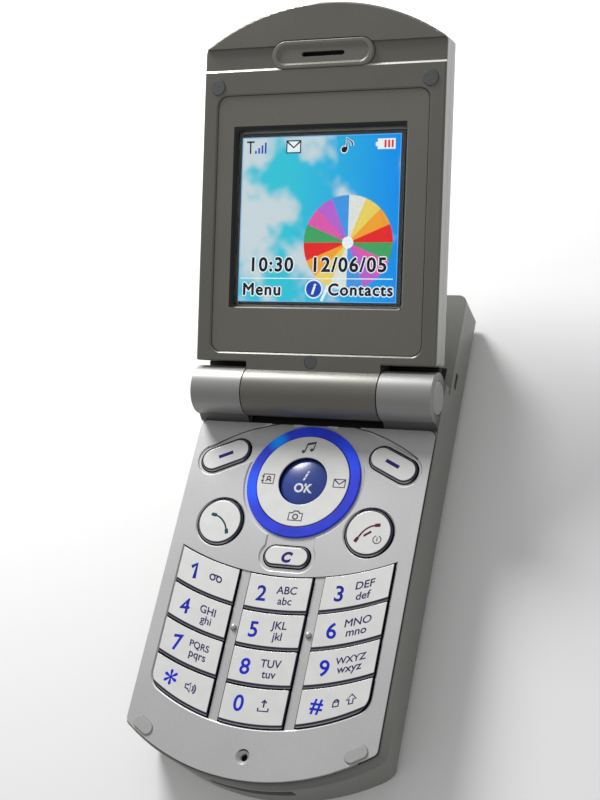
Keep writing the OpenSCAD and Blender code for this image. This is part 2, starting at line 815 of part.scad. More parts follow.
module antenna() {
    x0 = -16.6;
    color([0.80, 0.62, 0.30]) in_body() difference() {
        span([x0, head_cave_y + 0.6, back_z + skin + 0.3],
             [1.2, head_cave_y + head_cave[1] - 0.4, back_z + skin + 5]);
        at_body_screws() translate([0, 0, -body_t]) cylinder(h = body_t, r = boss_r + 0.4);
        span([x0 + 3, head_cave_y + 4, back_z + skin + 4.4], [-2, head_cave_y + 5.5, over]);
        span([x0 + 3, head_cave_y + 9, back_z + skin + 4.4], [-2, head_cave_y + 10.5, over]);
    }
}

module loudspeaker() {
    color([0.20, 0.20, 0.22]) in_body()
        translate([speaker_at[0], speaker_at[1], back_z + skin + 0.3]) difference() {
            cylinder(h = 3, r = speaker_r);
            translate([0, 0, -over]) cylinder(h = over + 0.4, r = speaker_r - 0.8);
        }
}

module vibration_motor() {
    color([0.70, 0.70, 0.72]) in_body() translate([motor_x[0], motor_y, motor_z])
        rotate([0, 90, 0]) difference() {
            cylinder(h = motor_x[1] - motor_x[0], r = motor_r);
            translate([0, 0, 2]) cylinder(h = 20, r = motor_shaft_r + 0.03);
        }
}

module vibration_weight() {
    color([0.50, 0.50, 0.52]) in_body() translate([0, motor_y, motor_z]) rotate([0, 90, 0]) {
        translate([0, 0, motor_x[0] + 2.2])
            cylinder(h = weight_x[1] - motor_x[0] - 2.1, r = motor_shaft_r);
        translate([0, 0, weight_x[0]]) intersection() {
            cylinder(h = weight_x[1] - weight_x[0], r = weight_r);
            translate([0, -weight_r, 0]) cube([weight_r, 2 * weight_r, 5]);
        }
    }
}

module io_connector() {
    z0 = board_z - io_h - fit;
    color([0.62, 0.62, 0.64]) in_body() difference() {
        span([-io_w / 2, io_face_y + 0.3, z0], [io_w / 2, io_back_y, board_z - fit]);
        difference() {
            span([-io_w / 2 + 0.6, io_face_y - over, z0 + 0.4],
                 [io_w / 2 - 0.6, io_back_y - 1, board_z - fit - 0.4]);
            span([-io_w / 2 + 1.6, io_face_y + 0.9, z0 + 0.9],
                 [io_w / 2 - 1.6, io_back_y, z0 + 1.5]);
        }
    }
}

module battery_contacts() {
    color([0.15, 0.15, 0.16]) in_body() {
        span([contact_x - 3, pocket_y1 + 0.1, back_z + 2.5],
             [contact_x + 3, pocket_y1 + 1.7, back_z + 5.1]);
        for (i = [-1:1]) translate([contact_x + 2 * i, pocket_y1, back_z])
            span([-0.5, -0.1, 3], [0.5, 0.1, 4.6]);
    }
}

module battery_pack() {
    color([0.36, 0.36, 0.34]) in_body() {
        difference() {
            translate([0, (battery_y0 + battery_y1) / 2, back_z]) linear_extrude(battery_t)
                round_rect(battery_w, battery_len, 1.4);
            // pads that the spring contacts press on
            span([contact_x - 2.8, battery_y1 - 0.3, back_z + 2.8],
                 [contact_x + 2.8, battery_y1 + over, back_z + battery_t + over]);
        }
        for (s = [-1, 1]) {
            span([s * tab_x - tab_w / 2, tab_at[0], tab_at[1] - 0.4],
                 [s * tab_x + tab_w / 2, battery_y0 + over, tab_at[1] + 0.4]);
            translate([s * tab_x - tab_w / 2, tab_at[0], tab_at[1]]) rotate([0, 90, 0])
                cylinder(h = tab_w, r = tab_r);
        }
    }
}

module battery_latch() {
    z0 = back_z + 0.1;
    color([0.28, 0.28, 0.27]) in_body() difference() {
        span([-latch_half, pocket_y1 + 0.15, z0], [latch_half, 2.5, back_z + 1.85]);
        for (i = [0:3]) span([1.5 - latch_half, pocket_y1 + 1.2 + i, z0 - over],
                             [latch_half - 1.5, pocket_y1 + 1.7 + i, z0 + 0.4]);
    }
}

module volume_rocker() {
    color([0.62, 0.62, 0.60]) in_body() translate([-body_w / 2 + rocker_depth, rocker_y, rocker_z]) {
        rotate([90, 0, -90]) linear_extrude(rocker_depth + rocker_proud) pill(rocker_len, rocker_w);
        // ridge that it rocks on
        translate([0, 0, -0.9]) cylinder(h = 1.8, r = 0.3 - fit);
    }
}

// ---------------------------------------------------------------- keys

// What lies inside the slope along the lower edge of a key in row n
module inside_slope(n) {
    r = n == 3 ? pad_end_r : row_r - row_gap / 2;
    mid = n == 3 ? pad_end_r - pad_bottom : row_r - pad_top - (n + 1) * row_pitch;
    translate([0, mid, 0]) {
        translate([0, 0, -body_t]) cylinder(h = body_t + slope_z, r = r + over);
        translate([0, 0, slope_z])
            cylinder(h = key_proud - slope_z, r1 = r + 0.03, r2 = r - row_slope_w);
    }
}

module number_key(c, n) {
    color([0.92, 0.92, 0.92]) in_body() intersection() {
        key_solid(0) {
            number_plan(c, n, 0);
            number_plan(c, n, flange_out);
        }
        inside_slope(n);
    }
}

module key_1() { number_key(-1, 0); }
module key_2() { number_key(0, 0); }
module key_3() { number_key(1, 0); }
module key_4() { number_key(-1, 1); }
module key_5() { number_key(0, 1); }
module key_6() { number_key(1, 1); }
module key_7() { number_key(-1, 2); }
module key_8() { number_key(0, 2); }
module key_9() { number_key(1, 2); }
module key_star() { number_key(-1, 3); }
module key_0() { number_key(0, 3); }
module key_hash() { number_key(1, 3); }

module soft_key(s) {
    color([0.92, 0.92, 0.92]) in_body() {
        key_solid(key_chamfer) {
            soft_plan(s, 0);
            soft_plan(s, flange_out);
        }
        translate([0, 0, key_proud - key_chamfer]) at_soft(s)
            pill_taper(soft_len, soft_w, key_chamfer, -key_chamfer);
    }
}

module soft_key_left() { soft_key(-1); }
module soft_key_right() { soft_key(1); }

module round_key(s) {
    color([0.92, 0.92, 0.92]) in_body() translate([s * call_x, -call_y, 0]) {
        key_solid(key_chamfer) {
            circle(call_r);
            circle(call_r + flange_out);
        }
        translate([0, 0, key_proud - key_chamfer])
            cylinder(h = key_chamfer, r1 = call_r, r2 = call_r - key_chamfer);
    }
}

module call_key() { round_key(-1); }
module end_key() { round_key(1); }

module clear_key() {
    color([0.92, 0.92, 0.92]) in_body() {
        key_solid(key_chamfer) {
            clear_plan(0);
            clear_plan(flange_out);
        }
        translate([0, -clear_y, key_proud - key_chamfer])
            pill_taper(clear_len, clear_w, key_chamfer, -key_chamfer);
    }
}

// Ring under the navigation key: it rocks sideways on the ridges below it, and the key
// rocks lengthways on the ridges above it
module navigation_rocker() {
    r_in = ok_r + flange_out + 0.2;
    r_out = ring_r - ring_w - 0.6;
    color([0.70, 0.72, 0.74]) in_body() translate([0, -nav_y, flange_top - flange_t]) {
        difference() {
            cylinder(h = rocker_t, r = r_out);
            translate([0, 0, -over]) cylinder(h = body_t, r = r_in);
        }
        for (s = [-1, 1]) {
            translate([0, s * (r_in + r_out) / 2, 0]) rotate([90, 0, 0])
                cylinder(h = r_out - r_in - 0.4, r = nav_tilt_room - fit, center = true);
            translate([s * (r_in + r_out) / 2, 0, rocker_t]) rotate([0, 90, 0])
                cylinder(h = r_out - r_in - 0.4, r = nav_tilt_room - fit, center = true);
        }
    }
}

module navigation_key() {
    color([0.92, 0.92, 0.92]) in_body()
        translate([0, -nav_y, flange_top - flange_t + rocker_t + nav_tilt_room]) difference() {
            cylinder(h = key_proud - flange_top + flange_t - rocker_t - nav_tilt_room,
                     r = ring_r - ring_w - nav_gap);
            translate([0, 0, -over]) cylinder(h = body_t, r = ok_r + nav_gap);
        }
}

module ok_key() {
    h = key_proud - flange_top + flange_t;
    dome_r = (ok_r * ok_r + ok_dome * ok_dome) / (2 * ok_dome);
    color([0.16, 0.24, 0.60]) in_body() translate([0, -nav_y, flange_top - flange_t]) {
        intersection() {
            cylinder(h = h, r = ok_r);
            translate([0, 0, h - 0.1 - dome_r]) sphere(dome_r);
        }
        cylinder(h = 0.2, r = ok_r + flange_out);
    }
}

// ---------------------------------------------------------------- lid

// The lid's outline, straight at the hinge end
module lid_slab(inset, z0, z1) {
    mirror([0, 1, 0]) plan_slab(-lid_start - inset, lid_len, inset, z0, z1, lid_corner_r);
}

module lid_form() {
    mirror([0, 1, 0])
        soft_block(-lid_start, lid_len, lid_t, face_edge_r, lid_edge_r, lid_corner_r, lid_foot_r);
}

// Bar along X about the hinge axis, in the lid frame
module lid_axis_bar(x0, x1, r) {
    translate([x0, 0, -axis_to_face]) rotate([0, 90, 0]) cylinder(h = x1 - x0, r = r);
}

module neck(g) {
    span([-barrel_w / 2 - g, 0, -neck_t - g], [barrel_w / 2 + g, lid_start + neck_in + g, 0]);
}

module lid_inner_case() {
    frame_mid = (frame_y0 + frame_y1) / 2;
    window_mid = (window_y0 + window_y1) / 2;
    lens_h = window_y1 - window_y0 + 2 * lens_rim;
    color([0.36, 0.36, 0.34]) in_lid() difference() {
        union() {
            intersection() {
                lid_form();
                lid_slab(-over, -inner_t, 0);
            }
            difference() {
                neck(0);
                span([-body_w, -over, -lid_t], [body_w, 0.5, over]);
            }
            lid_axis_bar(-barrel_w / 2, barrel_w / 2, barrel_r);
        }
        // seats of the frame and the lens, and the window
        translate([0, frame_mid, -frame_sink - frame_t]) linear_extrude(body_t)
            round_rect(frame_w + 2 * fit, frame_y1 - frame_y0 + 2 * fit, frame_corner);
        translate([0, frame_mid, -frame_sink])
            rect_taper(frame_w + 2 * fit, frame_y1 - frame_y0 + 2 * fit, frame_corner,
                       frame_sink + 0.1, frame_sink + 0.1);
        translate([0, window_mid, lens_z - lens_t - fit]) linear_extrude(body_t)
            round_rect(window_w + 2 * lens_rim + 2 * fit, lens_h + 2 * fit, 1);
        translate([0, window_mid, -lid_t]) linear_extrude(lid_t)
            round_rect(window_w - 0.6, window_y1 - window_y0 - 0.6, 0.4);
        // recessed band and the earpiece
        translate([-body_w, 0, 0]) rotate([90, 0, 90]) linear_extrude(2 * body_w)
            polygon([[band_y[0], -band_deep], [band_y[1], -band_deep], [band_y[1], 0.1],
                     [band_y[0] - band_deep - 0.1, 0.1]]);
        translate([0, ear_y, -1]) linear_extrude(2) pill(grille_len + 2 * fit, grille_w + 2 * fit);
        translate([0, ear_y, -lid_t]) linear_extrude(lid_t) pill(9, 2);
        for (s = [-1, 1]) translate([s * bumper_at[0], bumper_at[1], 0]) {
            translate([0, 0, -1.6]) cylinder(h = 3, r = 1.35);
            translate([0, 0, -lid_t]) cylinder(h = lid_t, r = 0.7);
        }
        translate([plug_at[0], plug_at[1], -1.2]) cylinder(h = 3, r = 1.15);
        // hinge: hexagon socket on the left, running bore on the right, hollow between
        translate([-barrel_w / 2 - over, 0, -axis_to_face]) rotate([0, 90, 0])
            cylinder(h = over + hex_len + 0.3, r = hex_r + fit, $fn = 6);
        lid_axis_bar(barrel_w / 2 - 4.3, barrel_w, pin_r + fit);
        lid_axis_bar(-barrel_w / 2 + 5, barrel_w / 2 - 4, pin_r);
        // slot that leads the flex from the barrel into the lid
        span([-3, 1.2, -axis_to_face - 0.7], [3, lid_start + 3, -axis_to_face + 0.5]);
    }
}

module lid_outer_case() {
    window = [sub_w + 2 * fit, sub_len + 2 * fit];
    color([0.66, 0.66, 0.64]) in_lid() difference() {
        lid_form();
        span([-body_w, 0, -inner_t - fit], [body_w, lid_len + over, over]);
        difference() {
            union() {
                lid_slab(wall, -lid_t + cave_step, over);
                lid_slab(wall + 1.8, -lid_t + cover_t, over);
            }
            for (s = [-1, 1]) translate([s * bumper_at[0], bumper_at[1], -lid_t])
                cylinder(h = lid_t, r = 1.6);
        }
        for (s = [-1, 1]) translate([s * bumper_at[0], bumper_at[1], -lid_t + 1.4])
            cylinder(h = lid_t, r = 0.62);
        neck(slack);
        // seat of the outer display's lens and its window
        translate([0, sub_y, -lid_t - over]) {
            linear_extrude(over + 0.6) round_rect(window[0], window[1], 1.5);
            linear_extrude(lid_t) round_rect(sub_w - 2, sub_len - 2, 1);
        }
        translate([0, camera_y, -lid_t - over]) cylinder(h = over + 0.6, r = camera_r + fit);
        translate([0, camera_y, -lid_t - over]) cylinder(h = lid_t, r = camera_r - 0.8);
    }
}

module display_frame() {
    frame_mid = (frame_y0 + frame_y1) / 2;
    window_mid = (window_y0 + window_y1) / 2;
    color([0.38, 0.38, 0.36]) in_lid() difference() {
        translate([0, frame_mid, lens_z]) linear_extrude(frame_t)
            round_rect(frame_w, frame_y1 - frame_y0, frame_corner);
        translate([0, window_mid, -over - lens_t]) linear_extrude(2 * over + lens_t)
            round_rect(window_w, window_y1 - window_y0, 0.6);
        translate([0, window_mid, -frame_sink - window_flare])
            rect_taper(window_w + 0.02, window_y1 - window_y0 + 0.02, 0.6,
                       window_flare + 0.1, window_flare + 0.1);
    }
}

module display_lens() {
    window_mid = (window_y0 + window_y1) / 2;
    color([0.75, 0.85, 0.90, 0.5]) in_lid() translate([0, window_mid, lens_z - lens_t])
        linear_extrude(lens_t - 0.02)
            round_rect(window_w + 2 * lens_rim, window_y1 - window_y0 + 2 * lens_rim, 1);
}

module display_module() {
    window_mid = (window_y0 + window_y1) / 2;
    glass = [window_w - 1, window_y1 - window_y0 - 1];
    color([0.10, 0.10, 0.12]) in_lid() {
        translate([-17, window_mid - 17.5, -inner_t - slack - module_t]) cube([34, 35, module_t]);
        translate([0, window_mid, -inner_t - slack - over]) linear_extrude(glass_z + inner_t + slack + over)
            round_rect(glass[0], glass[1], 0.3);
    }
}

module lid_board() {
    color([0.10, 0.35, 0.20]) in_lid()
        translate([-17.5, 9, -inner_t - slack - module_t - lid_board_t - 0.05])
            cube([35, 37.5, lid_board_t]);
}

module sub_display() {
    half = [sub_w / 2 + 1, sub_len / 2 + 1];
    top = -inner_t - slack - module_t - lid_board_t - 0.1;
    color([0.12, 0.12, 0.14]) in_lid()
        span([-half[0], sub_y - half[1], -lid_t + cover_t + 0.1], [half[0], sub_y + half[1], top]);
}

module sub_display_lens() {
    color([0.20, 0.22, 0.25]) in_lid() translate([0, sub_y, -lid_t]) linear_extrude(0.55)
        round_rect(sub_w, sub_len, 1.5);
}

module camera_module() {
    color([0.08, 0.08, 0.09]) in_lid() {
        translate([0, camera_y, -lid_t + 0.7]) cylinder(h = cover_t, r = camera_r - 1);
        translate([-4, camera_y - 3.2, -lid_t + cover_t + 0.1])
            cube([8, 6.4, lid_t - cover_t - inner_t - 0.3]);
    }
}

module camera_lens() {
    color([0.55, 0.57, 0.60]) in_lid() translate([0, camera_y, -lid_t]) difference() {
        cylinder(h = 0.55, r = camera_r);
        translate([0, 0, -over]) cylinder(h = over + 0.25, r = camera_r - 1);
    }
}

module earpiece_receiver() {
    color([0.20, 0.20, 0.22]) in_lid() translate([0, ear_y, -inner_t - 2.3]) linear_extrude(2.2)
        round_rect(13, 5.5, 1.2);
}

module earpiece_grille() {
    color([0.55, 0.55, 0.54]) in_lid() translate([0, ear_y, 0]) difference() {
        union() {
            translate([0, 0, grille_low]) linear_extrude(-grille_low - 0.15) pill(grille_len, grille_w);
            translate([0, 0, -0.15]) pill_taper(grille_len, grille_w, 0.25, -0.25);
        }
        translate([0, 0, -0.25]) pill_taper(grille_len - 2.3, grille_w - 2, 0.5, 0.5);
        translate([0, 0, grille_low - over]) linear_extrude(3 * over) pill(7.6, 0.8);
    }
}

module lid_bumpers() {
    color([0.30, 0.30, 0.29]) in_lid() {
        for (s = [-1, 1]) translate([s * bumper_at[0], bumper_at[1], -0.7])
            cylinder(h = 0.7 + bumper_proud, r = 1.3);
        translate([plug_at[0], plug_at[1], -1.15]) cylinder(h = 1.15, r = 1.1);
    }
}

module lid_screws() {
    color([0.55, 0.55, 0.57]) in_lid() for (s = [-1, 1])
        translate([s * bumper_at[0], bumper_at[1], -1.55]) {
            cylinder(h = 0.75, r = 1.2);
            translate([0, 0, -4.6]) cylinder(h = 4.7, r = 0.6);
        }
}

module hinge_flex() {
    color([0.80, 0.50, 0.20]) in_lid() {
        lid_axis_bar(-4.5, 4.5, 1.9);
        lid_axis_bar(4.4, ear_end - 1.6, 1);
        span([-2.6, 1, -axis_to_face - 0.4], [2.6, lid_start + 2.6, -axis_to_face + 0.2]);
    }
}

// ---------------------------------------------------------------- all pieces

front_case();
rear_case();
face_plate();
keypad_mat();
dome_sheet();
main_board();
shield_cans();
nav_light_ring();
microphone();
foot_pads();
body_screws();
hinge_cartridge();
hinge_pin();
hinge_caps();
antenna();
loudspeaker();
vibration_motor();
vibration_weight();
io_connector();
battery_contacts();
battery_pack();
battery_latch();
volume_rocker();
key_1();
key_2();
key_3();
key_4();
key_5();
key_6();
key_7();
key_8();
key_9();
key_star();
key_0();
key_hash();
soft_key_left();
soft_key_right();
call_key();
end_key();
clear_key();
navigation_rocker();
navigation_key();
ok_key();
lid_inner_case();
lid_outer_case();
display_frame();
display_lens();
display_module();
lid_board();
sub_display();
sub_display_lens();
camera_module();
camera_lens();
earpiece_receiver();
earpiece_grille();
lid_bumpers();
lid_screws();
hinge_shaft();
hinge_flex();
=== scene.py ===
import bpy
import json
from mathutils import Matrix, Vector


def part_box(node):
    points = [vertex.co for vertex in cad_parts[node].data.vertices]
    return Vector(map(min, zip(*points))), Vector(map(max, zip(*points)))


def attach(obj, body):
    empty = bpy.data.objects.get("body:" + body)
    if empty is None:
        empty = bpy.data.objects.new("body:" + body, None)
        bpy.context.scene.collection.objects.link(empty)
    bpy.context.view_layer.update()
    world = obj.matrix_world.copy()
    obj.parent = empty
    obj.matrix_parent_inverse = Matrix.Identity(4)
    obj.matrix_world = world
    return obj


bl_info = {
    "name": "Folding Phone Finishes",
    "version": (1, 0, 0),
    "blender": (4, 5, 0),
    "location": "3D View > Sidebar > Phone",
    "description": "Finishes, key legends and display picture of a folding phone, on its CAD frame",
    "category": "Object",
}

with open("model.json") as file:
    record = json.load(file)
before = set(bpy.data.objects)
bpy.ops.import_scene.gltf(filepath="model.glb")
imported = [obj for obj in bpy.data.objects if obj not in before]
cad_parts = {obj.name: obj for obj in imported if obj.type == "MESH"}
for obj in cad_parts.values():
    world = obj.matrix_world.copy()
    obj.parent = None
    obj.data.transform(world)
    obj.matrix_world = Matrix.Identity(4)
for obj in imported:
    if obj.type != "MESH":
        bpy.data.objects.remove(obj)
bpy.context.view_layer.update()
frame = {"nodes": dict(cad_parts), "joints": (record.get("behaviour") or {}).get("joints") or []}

import json
import math

import bpy
from mathutils import Matrix, Vector

MM = 0.001
HINGE = next(j for j in frame["joints"] if j["name"] == "lid_hinge")
HINGE_AT = Vector(HINGE["pos_m"])
LID_TILT = math.radians(180 - HINGE["range_deg"][1])
AXIS_TO_FACE = 2.05 * MM
AXIS_OVER_PLATE = 2.85 * MM
FACE_Z = HINGE_AT.z - AXIS_OVER_PLATE
KEY_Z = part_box("key_5")[1].z
NAV_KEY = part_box("navigation_key")
NAV_AT = (NAV_KEY[0] + NAV_KEY[1]) / 2

# Frames to work in: the keypad's, under the hinge axis, and the lid's, on its inner face
KEYPAD = Matrix.Translation((0, HINGE_AT.y, 0))
LID = (Matrix.Translation(HINGE_AT) @ Matrix.Rotation(LID_TILT, 4, "X")
       @ Matrix.Translation((0, 0, AXIS_TO_FACE)))

# Arcs that the rows of the number pad follow: radius, middle of the first row line, pitch
ROW_R = 45.6
ROW_TOP = 31.7
ROW_PITCH = 6.0625
DIGIT_X = (-15.35, -2.8, 10.3)
LETTERS_X = (-11.35, 1.45, 14.3)
DIGIT_DROP = 3.05
SYMBOL_DROP = 2.8
UPPER_DROP = 2.2
LOWER_DROP = 4.0

# Paint of the face plate, from the hinge axis down, all of it painted light and shade: highlit and shaded
# rims of the openings, a shaded pad floor, and the shadow line of the brow
RIMS_START = 9.5
RIMS_END = 61
RIM_DEPTH = 0.2
PAD_END = 59.3
PAD_DEPTH = 0.245
PAD_HALF = 18.9
BROW_END = 9.6
BROW_MIDDLE = (0.32, -36.49)
BROW_R = 32.66
BROW_WIDTH = 0.16

# Camera, fitted to the photograph, and the soft box
CAMERA_AT = Vector((90.56, -78.50, 218.65)) * MM
CAMERA_TURN = (28.283916, 18.927347, 12.368397)
LENS = 65.58
SOFT_BOX_AT = Vector((-150, 237, 160)) * MM
SOFT_BOX_SIZE = 120 * MM
SOFT_BOX_AIM = Vector((0, 10, 12)) * MM


# ---------------------------------------------------------------- settings

class PhoneFinishSettings(bpy.types.PropertyGroup):
    case_colour: bpy.props.FloatVectorProperty(
        name="Case", description="Grey of the body's case", subtype="COLOR",
        default=(0.24, 0.24, 0.222), min=0, max=1)
    barrel_colour: bpy.props.FloatVectorProperty(
        name="Barrels", description="Grey of the hinge ears", subtype="COLOR",
        default=(0.32, 0.32, 0.31), min=0, max=1)
    plate_colour: bpy.props.FloatVectorProperty(
        name="Face plate", description="Silver paint of the keypad face", subtype="COLOR",
        default=(0.56, 0.56, 0.565), min=0, max=1)
    lid_colour: bpy.props.FloatVectorProperty(
        name="Lid inside", description="Dark metallic paint of the inner lid case",
        subtype="COLOR", default=(0.18, 0.176, 0.155), min=0, max=1)
    cover_colour: bpy.props.FloatVectorProperty(
        name="Lid outside", description="Silver paint of the outer lid case",
        subtype="COLOR", default=(0.40, 0.40, 0.39), min=0, max=1)
    key_colour: bpy.props.FloatVectorProperty(
        name="Keys", description="Pearl white of the key caps", subtype="COLOR",
        default=(0.80, 0.80, 0.79), min=0, max=1)
    ring_colour: bpy.props.FloatVectorProperty(
        name="Light ring", description="Blue of the lit ring", subtype="COLOR",
        default=(0.018, 0.036, 0.52), min=0, max=1)
    ok_colour: bpy.props.FloatVectorProperty(
        name="OK key", description="Blue of the key in the middle", subtype="COLOR",
        default=(0.022, 0.055, 0.30), min=0, max=1)
    digit_colour: bpy.props.FloatVectorProperty(
        name="Digits", description="Blue ink of the digits", subtype="COLOR",
        default=(0.006, 0.02, 0.62), min=0, max=1)
    letter_colour: bpy.props.FloatVectorProperty(
        name="Letters", description="Navy ink of the small letters", subtype="COLOR",
        default=(0.03, 0.025, 0.13), min=0, max=1)


class PhoneLegendSettings(bpy.types.PropertyGroup):
    digit_size: bpy.props.FloatProperty(
        name="Digit size", description="Font size of the digits", default=3.6 * MM,
        min=2 * MM, max=5 * MM, subtype="DISTANCE", unit="LENGTH")
    letter_size: bpy.props.FloatProperty(
        name="Letter size", description="Font size of the small letters", default=1.8 * MM,
        min=1 * MM, max=3 * MM, subtype="DISTANCE", unit="LENGTH")
    line_width: bpy.props.FloatProperty(
        name="Line width", description="Width of the lines of the symbols", default=0.27 * MM,
        min=0.1 * MM, max=0.5 * MM, subtype="DISTANCE", unit="LENGTH")
    ink: bpy.props.FloatProperty(
        name="Ink", description="Thickness of the print", default=0.02 * MM,
        min=0.005 * MM, max=0.05 * MM, subtype="DISTANCE", unit="LENGTH")


class PhoneStageSettings(bpy.types.PropertyGroup):
    key_power: bpy.props.FloatProperty(
        name="Soft box", description="Power of the soft box at the upper left", default=1.1,
        min=0, max=5, unit="POWER")
    sky: bpy.props.FloatProperty(
        name="Surroundings", description="Strength of the even light from all sides",
        default=0.4, min=0, max=2)
    floor_colour: bpy.props.FloatVectorProperty(
        name="Floor", description="Colour of the floor", subtype="COLOR",
        default=(0.86, 0.86, 0.86), min=0, max=1)


# ---------------------------------------------------------------- materials

def new_material(name, rough, metallic=0.0):
    material = bpy.data.materials.new(name)
    material.use_nodes = True
    shader = material.node_tree.nodes["Principled BSDF"]
    shader.inputs["Roughness"].default_value = rough
    shader.inputs["Metallic"].default_value = metallic
    return material, material.node_tree, shader


def add(tree, kind, **values):
    node = tree.nodes.new(kind)
    for key, value in values.items():
        if hasattr(node, key):
            setattr(node, key, value)
        else:
            node.inputs[key.replace("_", " ")].default_value = value
    return node


def ramp(tree, factor, low, high, start=0.3, end=0.7):
    node = add(tree, "ShaderNodeValToRGB")
    node.color_ramp.elements[0].position = start
    node.color_ramp.elements[0].color = (*low, 1)
    node.color_ramp.elements[1].position = end
    node.color_ramp.elements[1].color = (*high, 1)
    tree.links.new(factor, node.inputs["Fac"])
    return node.outputs["Color"]


def mix(tree, factor, a, b):
    node = add(tree, "ShaderNodeMix", data_type="RGBA")
    if isinstance(factor, bpy.types.NodeSocket):
        tree.links.new(factor, node.inputs["Factor"])
    else:
        node.inputs["Factor"].default_value = factor
    colours = [s for s in node.inputs if s.type == "RGBA"]
    for socket, value in zip(colours, (a, b)):
        if isinstance(value, bpy.types.NodeSocket):
            tree.links.new(value, socket)
        else:
            socket.default_value = (*value, 1)
    return next(s for s in node.outputs if s.type == "RGBA")


def folded(tree, operation, *sockets):
    """Several values made one by a math operation."""
    result = sockets[0]
    for socket in sockets[1:]:
        node = add(tree, "ShaderNodeMath", operation=operation)
        tree.links.new(result, node.inputs[0])
        tree.links.new(socket, node.inputs[1])
        result = node.outputs[0]
    return result


def split(tree, vector):
    parts = add(tree, "ShaderNodeSeparateXYZ")
    tree.links.new(vector, parts.inputs["Vector"])
    return parts.outputs


def own(tree, output="Object"):
    """The piece's own coordinates, or its normal, as a vector."""
    return add(tree, "ShaderNodeTexCoord").outputs[output]


def grain(tree, scale, detail=2.0):
    """Noise on the piece's own coordinates."""
    noise = add(tree, "ShaderNodeTexNoise", Scale=scale, Detail=detail)
    tree.links.new(own(tree), noise.inputs["Vector"])
    return noise.outputs["Fac"]


def graded(tree, value, start, end, **settings):
    """0 to 1 as a value goes from start to end."""
    node = add(tree, "ShaderNodeMapRange", **settings)
    node.inputs["From Min"].default_value = start
    node.inputs["From Max"].default_value = end
    tree.links.new(value, node.inputs["Value"])
    return node.outputs["Result"]


def along(tree, axis, start, end):
    """0 to 1 from start to end on one of the piece's own axes."""
    return graded(tree, split(tree, own(tree))[axis], start, end)


def facing(tree, axis, start, end):
    """0 to 1 as the surface turns towards an axis of the piece."""
    return graded(tree, split(tree, own(tree, "Normal"))[axis], start, end)


def in_lid(tree):
    """The piece's own coordinates in the lid's frame: across, along and out of the lid."""
    flat = add(tree, "ShaderNodeMapping", vector_type="TEXTURE")
    flat.inputs["Location"].default_value = LID.translation
    flat.inputs["Rotation"].default_value = (LID_TILT, 0, 0)
    tree.links.new(own(tree), flat.inputs["Vector"])
    return flat.outputs["Vector"]


def within(tree, spans, soft=0.04):
    """1 inside all the spans, each a value with its low and high end in millimetres."""
    steps = []
    for value, low, high in spans:
        steps.append(graded(tree, value, (low - soft) * MM, low * MM))
        steps.append(graded(tree, value, (high + soft) * MM, high * MM))
    return folded(tree, "MULTIPLY", *steps)


def overpaint(material, mask, colour):
    """Another colour where the mask is 1."""
    tree = material.node_tree
    shader = tree.nodes["Principled BSDF"]
    under = shader.inputs["Base Color"].links[0].from_socket
    tree.links.new(mix(tree, mask, under, colour), shader.inputs["Base Color"])


def tinted(colour, share):
    return tuple(min(1, max(0, c * share)) for c in colour)


def relief(tree, shader, height, strength, distance):
    node = add(tree, "ShaderNodeBump", Strength=strength, Distance=distance)
    tree.links.new(height, node.inputs["Height"])
    tree.links.new(node.outputs["Normal"], shader.inputs["Normal"])


def flake_paint(name, colour, rough=0.38, metallic=0.35, spread=0.10, coat=0.15):
    """Metallic paint: fine flakes, and a slow drift of tone."""
    material, tree, shader = new_material(name, rough, metallic)
    flakes = grain(tree, 5200, 1)
    drift = grain(tree, 70, 3)
    fine = ramp(tree, flakes, tinted(colour, 1 - spread), tinted(colour, 1 + spread))
    slow = ramp(tree, drift, tinted(colour, 0.94), tinted(colour, 1.05))
    tree.links.new(mix(tree, 0.45, fine, slow), shader.inputs["Base Color"])
    rub = add(tree, "ShaderNodeMapRange")
    rub.inputs["To Min"].default_value = rough - 0.05
    rub.inputs["To Max"].default_value = rough + 0.06
    tree.links.new(drift, rub.inputs["Value"])
    tree.links.new(rub.outputs["Result"], shader.inputs["Roughness"])
    shader.inputs["Coat Weight"].default_value = coat
    shader.inputs["Coat Roughness"].default_value = 0.25
    relief(tree, shader, flakes, 0.06, 0.00002)
    return material


def moulded(name, colour, rough=0.5, spread=0.06, scale=2400, bump=0.10, metallic=0.0):
    """Moulded or stamped stock with a fine grain."""
    material, tree, shader = new_material(name, rough, metallic)
    fine = grain(tree, scale, 3)
    tree.links.new(ramp(tree, fine, tinted(colour, 1 - spread), tinted(colour, 1 + spread)),
                   shader.inputs["Base Color"])
    relief(tree, shader, fine, bump, 0.00003)
    return material


def pearl_cap(name, colour, rim_painted_shade, slope_painted_shade, wall_painted_shade):
    """Pearl white cap with painted shade: a dark line round its top, a grey slope, and dark walls below the
    face and on the sides turned towards +X.
    """
    material, tree, shader = new_material(name, 0.30)
    pearl = grain(tree, 420, 4)
    white = ramp(tree, pearl, tinted(colour, 0.955), tinted(colour, 1.03))
    low = mix(tree, along(tree, "Z", FACE_Z - 0.20 * MM, FACE_Z - 0.14 * MM), wall_painted_shade, slope_painted_shade)
    side = mix(tree, facing(tree, "X", 0.3, 0.7), low, wall_painted_shade)
    edge = mix(tree, along(tree, "Z", KEY_Z - 0.20 * MM, KEY_Z - 0.16 * MM), side, rim_painted_shade)
    depth = along(tree, "Z", KEY_Z - 0.035 * MM, KEY_Z - 0.012 * MM)
    tree.links.new(mix(tree, depth, edge, white), shader.inputs["Base Color"])
    shader.inputs["Coat Weight"].default_value = 0.35
    shader.inputs["Coat Roughness"].default_value = 0.12
    relief(tree, shader, grain(tree, 3000, 2), 0.03, 0.00002)
    return material


def printed(name, colour):
    material, tree, shader = new_material(name, 0.55)
    shader.inputs["Specular IOR Level"].default_value = 0.2
    tree.links.new(ramp(tree, grain(tree, 3600, 2), tinted(colour, 0.85), tinted(colour, 1.2)),
                   shader.inputs["Base Color"])
    return material


